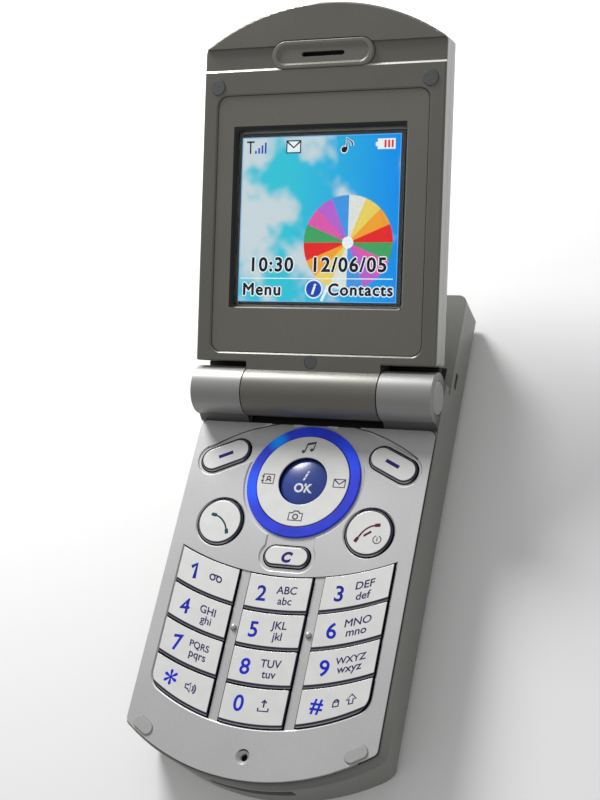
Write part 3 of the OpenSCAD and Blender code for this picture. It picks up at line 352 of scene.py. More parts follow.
def glowing(name, colour, strength=1.0):
    """Lit dots of the display, a little uneven."""
    material, tree, shader = new_material(name, 0.6)
    lit = ramp(tree, grain(tree, 2200, 2), tinted(colour, 0.93), tinted(colour, 1.04))
    shader.inputs["Base Color"].default_value = (0.01, 0.01, 0.01, 1)
    shader.inputs["Specular IOR Level"].default_value = 0
    tree.links.new(lit, shader.inputs["Emission Color"])
    shader.inputs["Emission Strength"].default_value = strength
    return material


# ---------------------------------------------------------------- mesh work

def let_go():
    if bpy.context.object and bpy.context.object.mode != "OBJECT":
        bpy.ops.object.mode_set(mode="OBJECT")
    bpy.ops.object.select_all(action="DESELECT")


def pick(*objects):
    let_go()
    for o in objects:
        o.select_set(True)
    bpy.context.view_layer.objects.active = objects[0]


def settle(piece, place):
    """Moves a piece into its frame and puts that place into its mesh."""
    pick(piece)
    piece.matrix_world = place @ piece.matrix_world
    bpy.ops.object.transform_apply(location=True, rotation=True, scale=True)
    return piece


def lettering(body, size, at, material, ink, bold=0.0, slant=0.0, spacing=1.0):
    """Printed letters, flat in the XY plane about the point at, in millimetres."""
    let_go()
    bpy.ops.object.text_add()
    piece = bpy.context.object
    # some of the font's glyphs fill in when thickened, so words with them are overprinted
    over = bold > 0.15 * MM or bool(set(body) & set("4Mga"))
    piece.data.body = body
    piece.data.size = size
    piece.data.offset = 0 if over else bold
    piece.data.shear = slant
    piece.data.space_character = spacing
    piece.data.extrude = ink / 2
    piece.data.resolution_u = 4
    bpy.ops.object.convert(target="MESH")
    piece = bpy.context.object
    if over and bold:
        layers = [piece]
        steps = [(bold, 0), (-bold, 0), (0, bold), (0, -bold)]
        if bold > 0.15 * MM:
            steps += [(0.7 * dx * bold, 0.7 * dy * bold) for dx in (-1, 1) for dy in (-1, 1)]
        for dx, dy in steps:
            pick(piece)
            bpy.ops.object.duplicate_move(
                TRANSFORM_OT_translate={"value": (dx, dy, -0.001 * MM * len(layers))})
            layers.append(bpy.context.object)
        pick(*layers)
        bpy.ops.object.join()
        piece = bpy.context.object
        bpy.ops.object.transform_apply(location=True, rotation=True, scale=True)
    low = [min(v.co[i] for v in piece.data.vertices) for i in (0, 1)]
    high = [max(v.co[i] for v in piece.data.vertices) for i in (0, 1)]
    shift = Vector((at[0] * MM - (low[0] + high[0]) / 2, at[1] * MM - (low[1] + high[1]) / 2,
                    at[2] * MM + ink / 4))
    piece.data.materials.clear()
    piece.data.materials.append(material)
    return settle(piece, Matrix.Translation(shift))


def stroke(points, width, z, material, ink, closed=False):
    """A drawn line through points in millimetres, flat in the XY plane at height z."""
    let_go()
    start = Vector((points[0][0] * MM, points[0][1] * MM, z * MM))
    bpy.ops.mesh.primitive_plane_add(size=width, location=start, enter_editmode=True)
    bpy.ops.mesh.merge(type="CENTER")
    trail = list(points) + ([points[0]] if closed else [])
    for a, b in zip(trail, trail[1:]):
        step = ((b[0] - a[0]) * MM, (b[1] - a[1]) * MM, 0)
        bpy.ops.mesh.extrude_vertices_move(TRANSFORM_OT_translate={"value": step})
    if closed:
        bpy.ops.mesh.select_all(action="SELECT")
        bpy.ops.mesh.remove_doubles(threshold=0.01 * MM)
    bpy.ops.object.mode_set(mode="OBJECT")
    bpy.ops.object.transform_apply(location=True, rotation=True, scale=True)
    bpy.ops.object.convert(target="CURVE")
    line = bpy.context.object
    line.data.bevel_depth = width / 2
    line.data.bevel_resolution = 2
    line.data.use_fill_caps = True
    bpy.ops.object.convert(target="MESH")
    line = bpy.context.object
    bpy.ops.object.mode_set(mode="EDIT")
    bpy.ops.mesh.select_all(action="SELECT")
    bpy.ops.transform.resize(value=(1, 1, ink / width), center_override=(0, 0, z * MM))
    bpy.ops.object.mode_set(mode="OBJECT")
    line.data.materials.clear()
    line.data.materials.append(material)
    return line


def dot(at, radius, z, material, ink, sides=24):
    """A printed dot."""
    let_go()
    bpy.ops.mesh.primitive_circle_add(vertices=sides, radius=radius * MM, fill_type="NGON",
                                      location=(at[0] * MM, at[1] * MM, z * MM - ink / 2),
                                      enter_editmode=True)
    bpy.ops.mesh.extrude_region_move(TRANSFORM_OT_translate={"value": (0, 0, ink)})
    bpy.ops.mesh.select_all(action="SELECT")
    bpy.ops.mesh.normals_make_consistent(inside=False)
    bpy.ops.object.mode_set(mode="OBJECT")
    piece = bpy.context.object
    piece.data.materials.append(material)
    return settle(piece, Matrix.Identity(4))


def arc(centre, radius, start, end, count=16):
    angles = [math.radians(start + (end - start) * i / count) for i in range(count + 1)]
    return [(centre[0] + radius * math.cos(a), centre[1] + radius * math.sin(a)) for a in angles]


def joined(name, parts, body, place=None):
    """One piece of several parts, riding on its body."""
    pick(*parts)
    if len(parts) > 1:
        bpy.ops.object.join()
    piece = bpy.context.object
    piece.name = name
    piece.data.name = name
    if place is not None:
        settle(piece, place)
    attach(piece, body)
    return piece


def coat_nodes(names, material, edge=0.0, segments=2):
    """Gives CAD nodes their finish, with broken edges of that width in millimetres."""
    for name in names:
        node = frame["nodes"][name]
        node.data.materials.clear()
        node.data.materials.append(material)
        if edge:
            weld = node.modifiers.new("merged", "WELD")
            weld.merge_threshold = 0.02 * MM
            flat = node.modifiers.new("flat_faces", "DECIMATE")
            flat.decimate_type = "DISSOLVE"
            flat.angle_limit = math.radians(0.4)
            bevel = node.modifiers.new("broken_edges", "BEVEL")
            bevel.width = edge * MM
            bevel.segments = segments
            bevel.limit_method = "ANGLE"
            bevel.angle_limit = math.radians(40)
            bevel.use_clamp_overlap = True
            bevel.miter_outer = "MITER_ARC"
            even = node.modifiers.new("even_normals", "WEIGHTED_NORMAL")
            even.keep_sharp = False


# ---------------------------------------------------------------- operators

class PHONE_OT_stage(bpy.types.Operator):
    """Floor, soft light and the camera at the photograph's angle"""
    bl_idname = "phone.stage"
    bl_label = "Stage and Camera"

    def execute(self, context):
        stage = context.scene.phone_stage
        let_go()
        bpy.ops.mesh.primitive_plane_add(size=6, location=(0, 0, -0.01 * MM), enter_editmode=True)
        bpy.ops.mesh.subdivide(number_cuts=3)
        bpy.ops.object.mode_set(mode="OBJECT")
        floor = context.object
        floor.name = "floor"
        material, tree, shader = new_material("floor_paper", 0.9)
        rays = add(tree, "ShaderNodeLightPath").outputs
        seen = folded(tree, "MAXIMUM", rays["Is Camera Ray"], rays["Is Glossy Ray"],
                      rays["Is Transmission Ray"])
        paper = ramp(tree, grain(tree, 90, 3), tinted(stage.floor_colour, 0.985),
                     tinted(stage.floor_colour, 1.01))
        tree.links.new(mix(tree, seen, paper, (1, 1, 1)), shader.inputs["Base Color"])
        floor.data.materials.append(material)

        let_go()
        bpy.ops.object.light_add(type="AREA", location=SOFT_BOX_AT)
        lamp = context.object
        lamp.name = "soft_box"
        lamp.data.shape = "DISK"
        lamp.data.size = SOFT_BOX_SIZE
        lamp.data.energy = stage.key_power
        lamp.rotation_euler = (SOFT_BOX_AT - SOFT_BOX_AIM).to_track_quat("Z", "Y").to_euler()

        world = bpy.data.worlds.new("studio")
        context.scene.world = world
        world.use_nodes = True
        sky = world.node_tree
        back = sky.nodes["Background"]
        rays = add(sky, "ShaderNodeLightPath").outputs
        seen = folded(sky, "MAXIMUM", rays["Is Camera Ray"], rays["Is Transmission Ray"])
        level = add(sky, "ShaderNodeMapRange")
        level.inputs["To Min"].default_value = stage.sky
        level.inputs["To Max"].default_value = 1.0
        sky.links.new(seen, level.inputs["Value"])
        sky.links.new(level.outputs["Result"], back.inputs["Strength"])
        back.inputs["Color"].default_value = (1, 1, 1, 1)

        let_go()
        bpy.ops.object.camera_add()
        camera = context.object
        camera.name = "camera"
        camera.data.lens = LENS
        camera.data.sensor_width = 36
        camera.data.sensor_fit = "AUTO"
        camera.data.clip_start = 0.01
        camera.location = CAMERA_AT
        camera.rotation_euler = [math.radians(angle) for angle in CAMERA_TURN]
        context.scene.camera = camera
        context.scene.view_settings.view_transform = "Standard"
        return {"FINISHED"}


class PHONE_OT_body_finish(bpy.types.Operator):
    """Paint of the body's cases, the face plate and what is set in them"""
    bl_idname = "phone.body_finish"
    bl_label = "Body Finish"

    def execute(self, context):
        look = context.scene.phone_finish
        y0, top = HINGE_AT.y / MM, FACE_Z / MM
        case = flake_paint("case_paint", look.case_colour, rough=0.42, metallic=0.3)
        tree = case.node_tree
        # painted shade: the ears darken towards the face plate
        shade = ramp(tree, along(tree, "Z", FACE_Z, HINGE_AT.z + 3 * MM),
                     tinted(look.barrel_colour, 0.12), look.barrel_colour, 0.0, 0.8)
        overpaint(case, along(tree, "Z", FACE_Z - 0.3 * MM, FACE_Z + 0.1 * MM), shade)
        # painted shade: a dark bay under the lid's barrel, and the tail's edge darkened
        x, y, z = split(tree, own(tree))
        bay_painted_shade = within(tree, [(x, -12.15, 12.15), (y, y0 - 5.2, y0 + 5), (z, 9, 20)])
        overpaint(case, bay_painted_shade, (0.02, 0.02, 0.02))
        overpaint(case, along(tree, "Y", HINGE_AT.y - 50 * MM, HINGE_AT.y - 64 * MM),
                  tinted(look.case_colour, 0.5))
        coat_nodes(["front_case"], case, 0.12)
        coat_nodes(["rear_case", "battery_pack"],
                   flake_paint("back_paint", look.case_colour, rough=0.45, metallic=0.3), 0.12)
        plate = flake_paint("plate_paint", look.plate_colour, rough=0.42, metallic=0.45, spread=0.06)
        tree = plate.node_tree
        x, y, z = split(tree, own(tree))
        # painted shade: the floor of the number pad, between the keys, painted near-black
        pad_floor_painted_shade = within(tree, [(y, y0 - PAD_END, y0), (z, 0, top - PAD_DEPTH)], 0.02)
        overpaint(plate, pad_floor_painted_shade, (0.03, 0.03, 0.04))
        # painted highlight on the lower rims and painted shade on the upper walls of the openings
        rims_painted_light_and_shade = within(tree, [(x, -PAD_HALF, PAD_HALF), (y, y0 - RIMS_END, y0 - RIMS_START),
                             (z, top - RIM_DEPTH, top - 0.012)], 0.01)
        overpaint(plate, folded(tree, "MULTIPLY", rims_painted_light_and_shade, facing(tree, "Y", 0.2, 0.4)), (1.0, 1.0, 1.0))
        overpaint(plate, folded(tree, "MULTIPLY", rims_painted_light_and_shade, facing(tree, "Y", -0.3, -0.6)), (0.04, 0.04, 0.06))
        # painted shadow of the brow over the upper keys: a band at one distance from its middle
        flat = add(tree, "ShaderNodeMapping")
        flat.inputs["Location"].default_value = (-BROW_MIDDLE[0] * MM, -(BROW_MIDDLE[1] + y0) * MM, 0)
        flat.inputs["Scale"].default_value = (1, 1, 0)
        tree.links.new(own(tree), flat.inputs["Vector"])
        reach = add(tree, "ShaderNodeVectorMath", operation="LENGTH")
        tree.links.new(flat.outputs["Vector"], reach.inputs[0])
        half = BROW_WIDTH / 2
        brow_painted_shadow = within(tree, [(reach.outputs["Value"], BROW_R - half, BROW_R + half),
                             (y, y0 - BROW_END, y0)], 0.05)
        overpaint(plate, brow_painted_shadow, (0.10, 0.10, 0.10))
        coat_nodes(["face_plate"], plate, 0.1)
        coat_nodes(["battery_latch"], moulded("latch_plastic", (0.07, 0.07, 0.065)), 0.08)
        coat_nodes(["volume_rocker", "hinge_caps"],
                   flake_paint("rocker_paint", look.cover_colour, rough=0.4), 0.1)
        coat_nodes(["foot_pads"], moulded("pad_rubber", (0.42, 0.42, 0.41), rough=0.65, bump=0.2), 0.15)
        return {"FINISHED"}


class PHONE_OT_lid_finish(bpy.types.Operator):
    """Paint of the lid's cases and what is set in them"""
    bl_idname = "phone.lid_finish"
    bl_label = "Lid Finish"

    def execute(self, context):
        look = context.scene.phone_finish
        inner = flake_paint("lid_paint", look.lid_colour, rough=0.40, metallic=0.45)
        tree = inner.node_tree
        across, up, out = split(tree, in_lid(tree))
        # painted highlight on the lower wall of the band, silver flank, and painted shade that darkens the
        # barrel towards its lower side
        overpaint(inner, within(tree, [(up, 54.0, 54.55), (out, -0.42, -0.03)], 0.01), (0.9, 0.9, 0.88))
        for low, high in ((-30, -21.42), (21.42, 30)):
            overpaint(inner, within(tree, [(across, low, high), (out, -3, -0.3)]), look.cover_colour)
        barrel_painted_shade = along(tree, "Z", HINGE_AT.z + 2.4 * MM, HINGE_AT.z - 2.2 * MM)
        overpaint(inner, folded(tree, "MULTIPLY", within(tree, [(up, -6, 2.6)]), barrel_painted_shade),
                  tinted(look.lid_colour, 0.45))
        coat_nodes(["lid_inner_case"], inner, 0.1)
        frame_paint = flake_paint("frame_paint", tinted(look.lid_colour, 1.12), rough=0.42, metallic=0.4)
        tree = frame_paint.node_tree
        across, up, out = split(tree, in_lid(tree))
        # black border printed round the window, wider at the left and at the top
        border = within(tree, [(across, -15.75, 15.1), (up, 14.2, 44.75)])
        overpaint(frame_paint, border, (0.012, 0.013, 0.014))
        coat_nodes(["display_frame"], frame_paint, 0.14)
        coat_nodes(["lid_outer_case"],
                   flake_paint("cover_paint", look.cover_colour, rough=0.4, metallic=0.4), 0.15)
        coat_nodes(["earpiece_grille"],
                   flake_paint("grille_paint", tinted(look.lid_colour, 1.15), rough=0.42, metallic=0.4), 0.08)
        coat_nodes(["lid_bumpers"], moulded("bumper_rubber", (0.105, 0.11, 0.112), rough=0.6), 0.06)
        clear, tree, shader = new_material("display_window", 0.03)
        shader.inputs["Transmission Weight"].default_value = 1
        shader.inputs["IOR"].default_value = 1.15
        tree.links.new(ramp(tree, grain(tree, 300, 2), (0.97, 0.98, 0.98), (1, 1, 1)),
                       shader.inputs["Base Color"])
        coat_nodes(["display_lens"], clear)
        dark, tree, shader = new_material("outer_window", 0.06)
        tree.links.new(ramp(tree, grain(tree, 300, 2), (0.012, 0.014, 0.017), (0.022, 0.025, 0.03)),
                       shader.inputs["Base Color"])
        shader.inputs["Coat Weight"].default_value = 1
        coat_nodes(["sub_display_lens", "camera_lens"], dark, 0.08)
        coat_nodes(["display_module", "sub_display", "camera_module"],
                   moulded("display_black", (0.012, 0.012, 0.014), rough=0.35))
        return {"FINISHED"}


class PHONE_OT_lid_lip(bpy.types.Operator):
    """Near-black lips along the lid's lower end, over the hinge ears: painted shade, a dark piece in the gap
    under the lid
    """
    bl_idname = "phone.lid_lip"
    bl_label = "Lid Lip"

    SPANS = ((-21.2, -12.1), (11.9, 20.6))
    HIGH, DEEP = 0.95, 1.9
    UP, OUT = 4.58, -5.6
    EDGE = 0.3

    def execute(self, context):
        lip_shade_black = moulded("lip_painted_shade", (0.012, 0.012, 0.014), rough=0.7, bump=0.2)
        lips = []
        for low, high in self.SPANS:
            let_go()
            bpy.ops.mesh.primitive_cube_add(size=1, enter_editmode=True)
            bpy.ops.transform.resize(value=((high - low) * MM, self.HIGH * MM, self.DEEP * MM))
            bpy.ops.transform.translate(value=((low + high) / 2 * MM, self.UP * MM, self.OUT * MM))
            bpy.ops.mesh.bevel(offset=self.EDGE * MM, segments=3, affect="EDGES")
            bpy.ops.object.mode_set(mode="OBJECT")
            bpy.ops.object.shade_smooth_by_angle(angle=math.radians(35))
            lip = context.object
            lip.data.materials.append(lip_shade_black)
            lips.append(lip)
        joined("lid_lip", lips, "lid", LID)
        return {"FINISHED"}


class PHONE_OT_inner_finish(bpy.types.Operator):
    """Metal, board and plastic of the pieces inside"""
    bl_idname = "phone.inner_finish"
    bl_label = "Inner Parts Finish"

    def execute(self, context):
        coat_nodes(["shield_cans", "body_screws", "hinge_cartridge", "hinge_pin", "hinge_shaft",
                    "vibration_motor", "vibration_weight", "io_connector", "lid_screws"],
                   moulded("steel", (0.42, 0.42, 0.44), rough=0.32, metallic=0.9, scale=1600), 0.05)
        coat_nodes(["dome_sheet", "antenna", "battery_contacts"],
                   moulded("gilt_metal", (0.62, 0.42, 0.16), rough=0.3, metallic=0.9, scale=1800), 0.03)
        coat_nodes(["main_board", "lid_board"],
                   moulded("board_lacquer", (0.02, 0.12, 0.05), rough=0.4, spread=0.25, scale=700))
        coat_nodes(["keypad_mat", "navigation_rocker"],
                   moulded("silicone", (0.30, 0.33, 0.38), rough=0.55), 0.05)
        coat_nodes(["loudspeaker", "microphone", "earpiece_receiver"],
                   moulded("black_plastic", (0.02, 0.02, 0.021), rough=0.5), 0.08)
        coat_nodes(["hinge_flex"], moulded("flex_film", (0.45, 0.20, 0.05), rough=0.35), 0.0)
        return {"FINISHED"}


class PHONE_OT_key_finish(bpy.types.Operator):
    """Pearl caps, the blue key and the lit ring"""
    bl_idname = "phone.key_finish"
    bl_label = "Key Finish"

    # the ring's bright places: from the disc's middle, reach, colour
    LAMPS = (((-5.9, 6.9), 2.6, (0.0, 0.28, 1.0)), ((7.4, 4.6), 6.0, (0.02, 0.07, 0.9)),
             ((-8.8, -1.5), 5.5, (0.015, 0.09, 0.95)))

    def execute(self, context):
        look = context.scene.phone_finish
        caps = [n for n in frame["nodes"] if n.startswith("key_")]
        caps += ["soft_key_left", "soft_key_right", "call_key", "end_key", "clear_key"]
        # painted shade on the caps: near-black walls, a near-black line round the top and a grey slope; on
        # the disc a grey line and a dark blue slope
        wall_painted_shade = (0.012, 0.012, 0.035)
        coat_nodes(caps, pearl_cap("pearl", look.key_colour, (0.015, 0.015, 0.05),
                                   (0.42, 0.42, 0.43), wall_painted_shade), 0.2, 3)
        coat_nodes(["navigation_key"], pearl_cap("pearl_disc", look.key_colour, (0.55, 0.56, 0.60),
                                                 (0.10, 0.12, 0.30), wall_painted_shade), 0.12, 3)

        blue, tree, shader = new_material("ok_blue", 0.3)
        tree.links.new(ramp(tree, grain(tree, 600, 3), tinted(look.ok_colour, 0.9),
                            tinted(look.ok_colour, 1.15)), shader.inputs["Base Color"])
        shader.inputs["Coat Weight"].default_value = 0.35
        shader.inputs["Coat Roughness"].default_value = 0.15
        coat_nodes(["ok_key"], blue, 0.3, 4)

        ring, tree, shader = new_material("lit_ring", 0.45)
        shader.inputs["Specular IOR Level"].default_value = 0.25
        colour = ramp(tree, grain(tree, 240, 3), tinted(look.ring_colour, 0.8),
                      tinted(look.ring_colour, 1.25))
        for spot, reach, light in self.LAMPS:
            near = add(tree, "ShaderNodeVectorMath", operation="DISTANCE")
            tree.links.new(own(tree), near.inputs[0])
            near.inputs[1].default_value = (NAV_AT.x + spot[0] * MM, NAV_AT.y + spot[1] * MM, FACE_Z)
            glow = graded(tree, near.outputs["Value"], 0, reach * MM, interpolation_type="SMOOTHSTEP",
                          To_Min=1, To_Max=0)
            colour = mix(tree, glow, colour, light)
        tree.links.new(colour, shader.inputs["Base Color"])
        tree.links.new(colour, shader.inputs["Emission Color"])
        shader.inputs["Emission Strength"].default_value = 0.25
        coat_nodes(["nav_light_ring"], ring, 0.12, 3)
        return {"FINISHED"}


def row_height(x, row, drop):
    """Height of a legend that lies drop below the arc over its row."""
    return ROW_R - ROW_TOP - row * ROW_PITCH - math.sqrt(ROW_R ** 2 - x ** 2) - drop


def along_row(piece, x, row):
    """Slants a legend so that it follows its row's arc."""
    level = row_height(x, row, 0)
    for v in piece.data.vertices:
        v.co.y += (row_height(v.co.x / MM, row, 0) - level) * MM
    return piece


class PHONE_OT_number_legends(bpy.types.Operator):
    """Digits, letters and small symbols of the number keys"""
    bl_idname = "phone.number_legends"
    bl_label = "Number Legends"

    LEGENDS = [("key_1", "1", ""), ("key_2", "2", "abc"), ("key_3", "3", "def"),
               ("key_4", "4", "ghi"), ("key_5", "5", "jkl"), ("key_6", "6", "mno"),
               ("key_7", "7", "pqrs"), ("key_8", "8", "tuv"), ("key_9", "9", "wxyz"),
               ("key_star", "*", ""), ("key_0", "0", ""), ("key_hash", "#", "")]

    SIZES = {"*": 1.5, "#": 0.92, "PQRS": 0.86, "WXYZ": 0.86}
    SHIFTS = {"*": (0.3, 0.35), "0": (0.3, 0.2), "4": (-0.25, 0.1)}

    def symbol(self, key, x, y, z, width, ink, material):
        """The small line symbols of the keys that have no letters."""
        if key == "key_1":
            return [stroke(arc((x - 0.62, y + 0.1), 0.46, 0, 360), width, z, material, ink),
                    stroke(arc((x + 0.62, y + 0.1), 0.46, 0, 360), width, z, material, ink),
                    stroke([(x - 0.62, y + 0.56), (x + 0.62, y + 0.56)], width, z, material, ink)]
        if key == "key_star":
            return [stroke([(x - 0.8, y - 0.3), (x - 0.8, y + 0.3), (x - 0.35, y + 0.3),
                            (x + 0.1, y + 0.75), (x + 0.1, y - 0.75), (x - 0.35, y - 0.3)],
                           width, z, material, ink, closed=True),
                    stroke(arc((x + 0.1, y), 0.55, -50, 50, 6), width, z, material, ink),
                    stroke(arc((x + 0.1, y), 0.95, -50, 50, 8), width, z, material, ink)]
        if key == "key_0":
            x += 0.3
            return [stroke([(x, y + 0.9), (x, y - 0.25)], width, z, material, ink),
                    stroke([(x - 0.4, y + 0.45), (x, y + 0.9), (x + 0.4, y + 0.45)], width, z, material, ink),
                    stroke([(x - 0.85, y - 0.35), (x - 0.85, y - 0.85), (x + 0.85, y - 0.85),
                            (x + 0.85, y - 0.35)], width, z, material, ink)]
        left, right = x - 1.0, x + 1.3
        return [stroke([(left - 0.42, y - 0.65), (left - 0.42, y + 0.05), (left + 0.42, y + 0.05),
                        (left + 0.42, y - 0.65)], width, z, material, ink, closed=True),
                stroke(arc((left, y + 0.1), 0.3, 0, 180, 8), width, z, material, ink),
                stroke([(right - 0.3, y - 0.7), (right - 0.3, y), (right - 0.75, y), (right, y + 0.8),
                        (right + 0.75, y), (right + 0.3, y), (right + 0.3, y - 0.7)],
                       width, z, material, ink, closed=True)]

    def execute(self, context):
        look = context.scene.phone_finish
        print_ = context.scene.phone_legends
        digit_ink = printed("digit_ink", look.digit_colour)
        tree = digit_ink.node_tree
        # painted shade: the digits of the lower rows painted darker
        overpaint(digit_ink, along(tree, "Y", HINGE_AT.y - 48 * MM, HINGE_AT.y - 34 * MM),
                  tinted(look.digit_colour, 0.55))
        letter_ink = printed("letter_ink", look.letter_colour)
        z = KEY_Z / MM
        for i, (key, digit, letters) in enumerate(self.LEGENDS):
            row, column = divmod(i, 3)
            size = print_.digit_size * self.SIZES.get(digit, 1)
            shift = self.SHIFTS.get(digit, (0, 0))
            x = DIGIT_X[column] + shift[0]
            y = row_height(DIGIT_X[column], row, DIGIT_DROP) + shift[1]
            if digit == "1":
                parts = [stroke([(x - 0.75, y + 0.72), (x + 0.12, y + 1.3), (x + 0.12, y - 1.22)],
                                0.66 * MM, z, digit_ink, print_.ink)]
            else:
                parts = [lettering(digit, size, (x, y, z), digit_ink, print_.ink, bold=0.06 * MM)]
            x = LETTERS_X[column]
            if letters:
                for word, drop in ((letters.upper(), UPPER_DROP), (letters, LOWER_DROP)):
                    size = print_.letter_size * self.SIZES.get(word, 1)
                    parts.append(along_row(lettering(word, size, (x, row_height(x, row, drop), z), letter_ink,
                                                     print_.ink, bold=0.025 * MM), x, row))
            else:
                for part in self.symbol(key, x, row_height(x, row, SYMBOL_DROP), z, print_.line_width,
                                        print_.ink, letter_ink):
                    parts.append(along_row(part, x, row))
            joined(key.replace("key_", "legend_"), parts, key, KEYPAD)
        return {"FINISHED"}


def on_dome(piece, top, radius):
    """Lays a print on the round top of the key in the middle."""
    for v in piece.data.vertices:
        across = (v.co.x - NAV_AT.x) ** 2 + (v.co.y - NAV_AT.y) ** 2
        v.co.z += top - radius + math.sqrt(radius ** 2 - across) - KEY_Z
    return piece


class PHONE_OT_control_legends(bpy.types.Operator):
    """Symbols of the soft, call, end, clear, navigation and OK keys"""
    bl_idname = "phone.control_legends"
    bl_label = "Control Legends"

    def execute(self, context):
        look = context.scene.phone_finish
        print_ = context.scene.phone_legends
        ink, width, z = print_.ink, print_.line_width, KEY_Z / MM
        navy = printed("navy_ink", (0.012, 0.008, 0.16))
        teal = printed("teal_ink", (0.006, 0.06, 0.085))
        plum = printed("plum_ink", (0.10, 0.004, 0.035))
        grey = printed("grey_ink", (0.07, 0.07, 0.075))
        white = printed("white_ink", (0.85, 0.86, 0.88))
        bar = 0.62 * MM
        joined("legend_soft_left", [stroke([(-16.1, -11.5), (-13.7, -10.4)], bar, z, navy, ink)],
               "soft_key_left", KEYPAD)
        joined("legend_soft_right", [stroke([(13.7, -10.3), (16.1, -11.45)], bar, z, navy, ink)],
               "soft_key_right", KEYPAD)
        clear = lettering("C", 2.35 * MM, (0.2, -28.3, z), navy, ink, bold=0.13 * MM, slant=0.2)
        joined("legend_clear", [clear], "clear_key", KEYPAD)
        # handset lifted, and handset down with the small power sign
        lifted = [(-14.89, -21.87), (-14.2, -21.95), (-13.48, -22.2), (-12.9, -22.55), (-12.43, -23.0),
                  (-12.05, -23.45), (-11.79, -23.95), (-11.55, -24.5), (-11.35, -25.11)]
        joined("legend_call", [stroke(lifted, 0.3 * MM, z, teal, ink),
                               stroke([(-14.8, -21.86), (-13.9, -22.0)], 0.6 * MM, z + 0.004, teal, ink),
                               stroke([(-11.6, -24.3), (-11.35, -25.1)], 0.6 * MM, z + 0.004, teal, ink)],
               "call_key", KEYPAD)
        laid = [(11.11, -24.71), (11.35, -24.2), (11.67, -23.72), (12.05, -23.1), (12.5, -22.55),
                (12.95, -22.2), (13.4, -21.93), (14.1, -21.7), (14.88, -21.6)]
        joined("legend_end", [stroke(laid, 0.3 * MM, z, plum, ink),
                              stroke([(11.1, -24.75), (11.5, -24.0)], 0.6 * MM, z + 0.004, plum, ink),
                              stroke([(14.0, -21.72), (14.9, -21.6)], 0.6 * MM, z + 0.004, plum, ink),
                              stroke([(12.39, -23.65), (13.58, -22.8)], 0.4 * MM, z, plum, ink),
                              stroke(arc((14.75, -24.1), 0.66, 110, 430, 20), 0.17 * MM, z, grey, ink),
                              stroke([(14.75, -24.4), (14.75, -23.7)], 0.17 * MM, z, grey, ink)],
               "end_key", KEYPAD)
        joined("legend_navigation", self.navigation(grey, ink, z), "navigation_key", KEYPAD)
        y = (NAV_AT.y - HINGE_AT.y) / MM
        signs = [lettering("i", 2.6 * MM, (0.4, y + 1.0, z), white, ink, bold=0.04 * MM, slant=0.35),
                 lettering("OK", 2.1 * MM, (0.3, y - 1.2, z), white, ink, bold=0.07 * MM)]
        # the round top of the OK key: its rise and half its width
        rise, half = 0.6 * MM, 4.11 * MM
        on_dome(joined("legend_ok", signs, "ok_key", KEYPAD),
                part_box("ok_key")[1].z, (half ** 2 + rise ** 2) / (2 * rise))
        return {"FINISHED"}

    def navigation(self, grey, ink, z):
        """Note above, book left, letter right, camera below."""
        fine = 0.25 * MM
        y = (NAV_AT.y - HINGE_AT.y) / MM

        def line(points, closed=False, width=fine):
            return stroke([(px, py + y) for px, py in points], width, z, grey, ink, closed)

        note = [line([(-0.75, 5.25), (-0.45, 6.75), (0.95, 7.1), (0.7, 5.6)]),
                line([(-0.45, 6.55), (0.95, 6.9)]),
                dot((-1.0, y + 5.25), 0.3, z, grey, ink), dot((0.42, y + 5.6), 0.3, z, grey, ink)]
        book = [line([(-7.1, -0.85), (-7.1, 0.8), (-5.15, 0.8), (-5.15, -0.85)], True),
                line(arc((-6.1, 0.1), 0.3, 0, 360, 12)), line(arc((-6.1, -0.65), 0.5, 20, 160, 6)),
                line([(-7.4, 0.4), (-6.9, 0.4)]), line([(-7.4, -0.4), (-6.9, -0.4)])]
        letter = [line([(5.5, -0.75), (5.5, 0.65), (7.5, 0.65), (7.5, -0.75)], True),
                  line([(5.5, 0.6), (6.5, -0.2), (7.5, 0.6)])]
        camera = [line([(-1.1, -7.05), (-1.1, -5.75), (-0.5, -5.75), (-0.25, -5.4),
                        (0.45, -5.4), (0.7, -5.75), (1.25, -5.75), (1.25, -7.05)], True),
                  line(arc((0.08, -6.4), 0.42, 0, 360, 14))]
        return note + book + letter + camera


